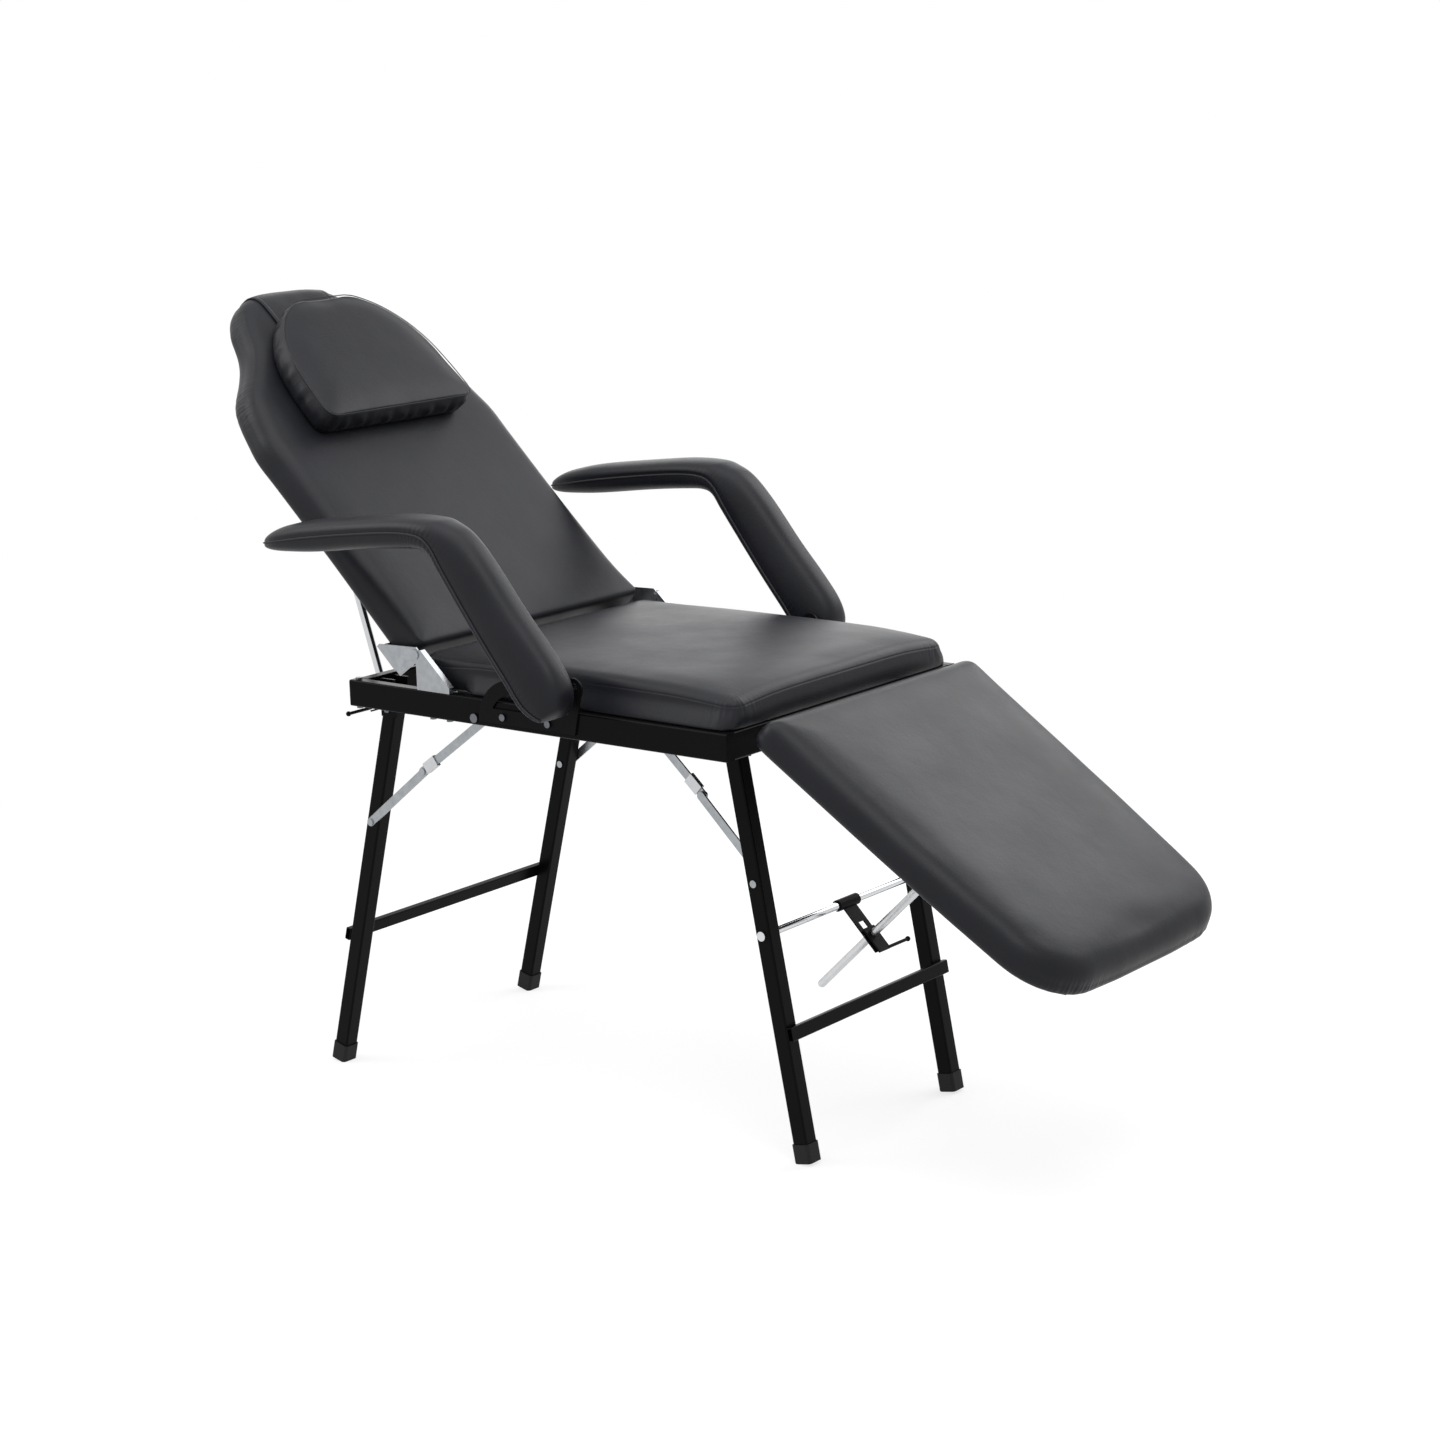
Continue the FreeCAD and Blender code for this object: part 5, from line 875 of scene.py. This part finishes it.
def toned(tree, shader, tone, dark, light, rough=None, start=0.0, stop=1.0):
    """Let a tone lead the base colour, and the roughness from one number to another."""
    mix = add_node(tree, "ShaderNodeMix",
                   {"data_type": "RGBA", 6: colour(dark), 7: colour(light)}, {0: tone})
    tree.links.new(mix.outputs[2], shader.inputs["Base Color"])
    if rough:
        spread = add_node(tree, "ShaderNodeMapRange", {"From Min": start, "From Max": stop,
                          "To Min": rough[0], "To Max": rough[1]}, {"Value": tone})
        tree.links.new(spread.outputs[0], shader.inputs["Roughness"])


def embossed(tree, shader, *layers):
    """Bumps laid one on another, each a height and its depth in metres."""
    links = {}
    for height, depth in layers:
        bump = add_node(tree, "ShaderNodeBump", {"Distance": depth}, {"Height": height, **links})
        links = {"Normal": bump.outputs[0]}
    tree.links.new(bump.outputs[0], shader.inputs["Normal"])


# %% [markdown]
# ## Leatherette
# The covers are vinyl leatherette: a knitted cloth with a soft black skin that is embossed with
# a fine pebble grain while warm. The grain is about a millimetre across, too fine for this
# picture, so it is drawn at about twice that. The skin scatters light a little, so its gloss is
# broad, and it is uneven where the foam pulls it. Puckers and seams follow the attributes that
# the cushions carry: the distance round the edge, how strongly the cloth gathers, and how far
# a point lies from its seam.

# %% Leatherette
PUCKER_LENGTH, GROOVE_HALF = 8 * MM, 2.2 * MM


def leatherette(name, dark, light, rough, grain_size=2.0):
    """Black vinyl skin with grain, slow unevenness, puckers along an edge and a sunk seam."""
    material, tree, shader, place = new_material(name, Specular_IOR_Level=0.2)
    slow, fine = noise(tree, place, 90, 3.0), noise(tree, place, 5, 4.0)
    grain = add_node(tree, "ShaderNodeTexVoronoi", {"feature": "SMOOTH_F1",
                     "Scale": 1 / (grain_size * MM), "Smoothness": 0.5},
                     {"Vector": place}).outputs["Distance"]
    tone = reckoned(tree, "ADD", slow, reckoned(tree, "MULTIPLY", fine, 0.35))
    toned(tree, shader, tone, dark, light, rough, 0.3, 0.9)
    along, pucker, seam = (
        add_node(tree, "ShaderNodeAttribute", {"attribute_name": word}).outputs["Fac"]
        for word in ("along", "pucker", "seam"))
    turns = reckoned(tree, "MULTIPLY", along, 2 * math.pi / PUCKER_LENGTH)
    wave = reckoned(tree, "MULTIPLY_ADD", noise(tree, place, 22, 1.0), 9.0, turns)
    folds = reckoned(tree, "MULTIPLY", reckoned(tree, "SINE", wave), pucker)
    groove = add_node(tree, "ShaderNodeMapRange", {"interpolation_type": "SMOOTHSTEP",
                      "From Max": GROOVE_HALF}, {"Value": reckoned(tree, "ABSOLUTE", seam)})
    embossed(tree, shader, (grain, 0.06 * MM), (fine, 0.12 * MM), (slow, 1.2 * MM),
             (folds, 0.3 * MM), (groove.outputs[0], 0.4 * MM))
    return material


COVER = leatherette("leatherette_black_vinyl", "#121317", "#1c1d22", (0.36, 0.46))
# The cord is the cover's own leatherette drawn lighter: the lighter tone is a painted highlight
# along the round cord.
PIPING_PAINTED_SHEEN = leatherette("leatherette_piping_painted_sheen", "#2a2b2e", "#3a3b3f", (0.7, 0.8), 1.5)
covers = [seat, back, leg_rest, pillow, strap, *arms]
for pieces, skin in ((covers, COVER), (cords, PIPING_PAINTED_SHEEN)):
    for piece in pieces:
        piece.data.materials.append(skin)
print("leatherette on", len(covers), "covers and", len(cords), "cords")

# %% [markdown]
# ## Powder coat
# The tubes are mild steel under black powder coat. The powder melts and flows in the oven,
# which leaves a smooth glossy skin with the faint waves called orange peel, a few millimetres
# apart, and a slightly uneven gloss.

# %% Black powder coat
def powder_coat(name, dark, light, gloss):
    """Fused black powder over steel: a dielectric with orange peel."""
    material, tree, shader, place = new_material(name, Specular_IOR_Level=0.06)
    toned(tree, shader, noise(tree, place, 60, 3.0), dark, light, (gloss, gloss + 0.16))
    embossed(tree, shader, (noise(tree, place, 3.5, 1.5), 0.05 * MM))
    return material


FRAME_COAT = powder_coat("powder_coat_black", "#060607", "#0b0b0c", 0.24)
BRACKET_COAT = powder_coat("powder_coat_bracket", "#0c0c0e", "#141416", 0.38)

# %% [markdown]
# ## Zinc and chrome
# The stays and hinge plates are pressed from strip and zinc plated, which gives a bright, a
# little cloudy grey with fine lines along the rolling. The bars are chromed tube, nearly a
# mirror, with a slight ripple from polishing. The leg rest's rod is brushed and only satin.

# %% Bright metals
def bright_metal(name, dark, light, rough, grain=(1, 1, 1), depth=0.02 * MM):
    """A metal whose tone and gloss follow a stretched noise, as rolled or brushed steel has."""
    material, tree, shader, place = new_material(name, Metallic=1.0)
    stretched = add_node(tree, "ShaderNodeMapping", {"Scale": grain}, {"Vector": place})
    lines = noise(tree, stretched.outputs[0], 2, 4.0)
    cloud = reckoned(tree, "MULTIPLY", noise(tree, place, 14, 3.0), 0.5)
    toned(tree, shader, reckoned(tree, "MULTIPLY_ADD", lines, 0.5, cloud), dark, light, rough)
    embossed(tree, shader, (lines, depth))
    return material


ZINC = bright_metal("zinc_plated_steel", "#85888c", "#bcbfc2", (0.26, 0.44), (0.3, 1, 0.3))
# The screws have the same zinc plating drawn much darker: a painted dark reflection, so their small
# heads do not mirror the white floor brightly.
SCREW_ZINC_PAINTED_DARK = bright_metal("zinc_plated_screws_painted_dark", "#505357", "#7d8085", (0.2, 0.34))
SLEEVE_ZINC = bright_metal("zinc_plated_sleeve", "#b5b7ba", "#dcdee0", (0.3, 0.45))
CHROME = bright_metal("chromed_tube", "#c2c4c7", "#d6d8da", (0.05, 0.1), depth=0.001 * MM)
SATIN = bright_metal("satin_steel_rod", "#bfc1c3", "#e2e3e4", (0.28, 0.4), (1, 1, 0.3))

# %% [markdown]
# ## Rubber and board lining
# The foot caps are moulded rubber, matt and faintly dusty. Below the cushions, thin plywood is
# covered with black non-woven cloth, whose fibres are pressed flat in a random felt.

# %% Rubber and lining
def matt_skin(name, dark, light, rough, size, depth, sheen=0.0):
    """A matt black skin whose grain and tone come from one fine noise."""
    material, tree, shader, place = new_material(name, Roughness=rough, Sheen_Weight=sheen,
                                                 Specular_IOR_Level=0.3)
    fine = noise(tree, place, size, 5.0, Roughness=0.7)
    toned(tree, shader, fine, dark, light)
    embossed(tree, shader, (fine, depth))
    return material


RUBBER = matt_skin("moulded_rubber", "#0c0c0d", "#18181a", 0.7, 2.5, 0.1 * MM)
LINING = matt_skin("non_woven_lining", "#0f0f10", "#232324", 0.95, 3.0, 0.25 * MM, 0.2)

# %% Which finish goes on which steel part
FINISHES = [
    (FRAME_COAT, ("rail_", "rear_cross_bar", "front_cross_bar", "seat_cross_bars", "rear_leg_",
                  "front_leg_", "leg_pivot_cheeks", "backrest_prop_bar", "front_stay_lugs")),
    (BRACKET_COAT, ("armrest_bracket_", "leg_rest_clamp", "backrest_clamp",
                    "leg_rest_jam_lever", "backrest_jam_lever", "leg_rest_prop_fork",
                    "backrest_prop_fork")),
    (ZINC, ("hinge_plate_", "_stay_upper", "_stay_lower", "leg_rest_hinges_")),
    (SCREW_ZINC_PAINTED_DARK, ("_bolts",)),
    (SLEEVE_ZINC, ("_stay_sleeve",)),
    (CHROME, ("leg_rest_prop_bar", "backrest_rod")),
    (SATIN, ("leg_rest_rod",)),
    (RUBBER, ("_foot_caps",)),
    (LINING, ("_board",)),
]
finished = set()
for material, words in FINISHES:
    for name, node in nodes.items():
        if any(word in name for word in words):
            node.data.materials.clear()
            node.data.materials.append(material)
            finished.add(name)
print("replaced by covers, so without a finish:", sorted(set(nodes) - finished))

# %% [markdown]
# ## Floor and light
# The photograph was cut out on white. A plain pale floor stands in for the studio's: to the
# camera and in reflections it is nearly white and keeps a soft shadow, and for the light that
# falls on the chair it is plain pale grey. The world does the same, white to look at and a
# softer grey as a lamp. Of five soft lamps, three stand in front or overhead and light the near
# sides, and the two behind give the sheen on the top faces.

# %% Floor
FLOOR_HALF, FLOOR_GAP, FADE_START, FADE_END = 6, 0.3 * MM, 1.1, 2.4
WHITE = (1, 1, 1, 1)
floor_points = FLOOR_HALF * np.array([(-1, -1, 0), (1, -1, 0), (1, 1, 0), (-1, 1, 0)], float)
floor_points[:, 2] = CAD_BOX[0][2] - FLOOR_GAP
floor = make_mesh("floor", floor_points, np.array([[0, 1, 2, 3]]))


def seen_ray(tree):
    """One for camera, glossy and transmission rays, nought for the light that falls on things."""
    path = add_node(tree, "ShaderNodeLightPath").outputs
    first = reckoned(tree, "MAXIMUM", path["Is Camera Ray"], path["Is Glossy Ray"])
    return reckoned(tree, "MAXIMUM", first, path["Is Transmission Ray"])


def mixed(tree, share, first, second):
    """Two shaders mixed by a share, from the first at nought to the second at one."""
    return add_node(tree, "ShaderNodeMixShader", links={
        0: share, 1: first.outputs[0], 2: second.outputs[0]})


floor_material = bpy.data.materials.new("pale_floor")
floor_material.use_nodes = True
tree = floor_material.node_tree
tree.nodes.remove(tree.nodes["Principled BSDF"])
plain = add_node(tree, "ShaderNodeBsdfDiffuse", {"Color": colour("#d8d8d8")})
faint = add_node(tree, "ShaderNodeBsdfDiffuse", {"Color": colour("#9c9c9c")})
glow = add_node(tree, "ShaderNodeEmission", {"Color": WHITE, "Strength": 0.74})
lit = add_node(tree, "ShaderNodeAddShader", links={0: faint.outputs[0], 1: glow.outputs[0]})
far_white = add_node(tree, "ShaderNodeEmission", {"Color": WHITE, "Strength": 1.0})
floor_place = add_node(tree, "ShaderNodeTexCoord").outputs["Object"]
reach = add_node(tree, "ShaderNodeVectorMath", {"operation": "LENGTH"}, {0: floor_place})
fade = add_node(tree, "ShaderNodeMapRange", {"interpolation_type": "SMOOTHSTEP",
                "From Min": FADE_START, "From Max": FADE_END}, {"Value": reach.outputs["Value"]})
choice = mixed(tree, seen_ray(tree), plain, mixed(tree, fade.outputs[0], lit, far_white))
tree.links.new(choice.outputs[0], tree.nodes["Material Output"].inputs["Surface"])
floor.data.materials.append(floor_material)

# %% World
world = bpy.data.worlds.new("studio")
bpy.context.scene.world = world
world.use_nodes = True
tree = world.node_tree
soft_grey = tree.nodes["Background"]
soft_grey.inputs["Color"].default_value = WHITE
soft_grey.inputs["Strength"].default_value = 0.55
white = add_node(tree, "ShaderNodeBackground", {"Color": WHITE, "Strength": 1.0})
choice = mixed(tree, seen_ray(tree), soft_grey, white)
tree.links.new(choice.outputs[0], tree.nodes["World Output"].inputs["Surface"])

# %% Lamps
LAMPS = [("left_lamp", (-1.9, -1.3, 2.4), (-0.3, -0.2, 0.7), 1.5, 22),
         ("front_lamp", (1.6, -1.1, 2.7), (0, 0.1, 0.7), 1.0, 12),
         ("overhead_lamp", (0.2, -0.4, 3.2), (0, 0, 0.6), 2.4, 38),
         ("rear_lamp", (0.6, 1.75, 1.95), (0.35, 0, 0.6), 1.6, 24),
         ("low_rear_lamp", (-1.75, 2.3, 1.6), (-0.1, 0, 0.8), 1.9, 12)]
for name, place, target, size, power in LAMPS:
    light = bpy.data.lights.new(name, "AREA")
    light.shape, light.size, light.energy = "SQUARE", size, power
    lamp = bpy.data.objects.new(name, light)
    toward = (Vector(target) - Vector(place)).to_track_quat("-Z", "Y")
    lamp.matrix_world = Matrix.Translation(place) @ toward.to_matrix().to_4x4()
    bpy.context.scene.collection.objects.link(lamp)
print(len(LAMPS), "soft lamps")

# %% [markdown]
# ## View settings
# The picture is shown through the Standard view transform.

# %% View settings
bpy.context.scene.view_settings.view_transform = "Standard"
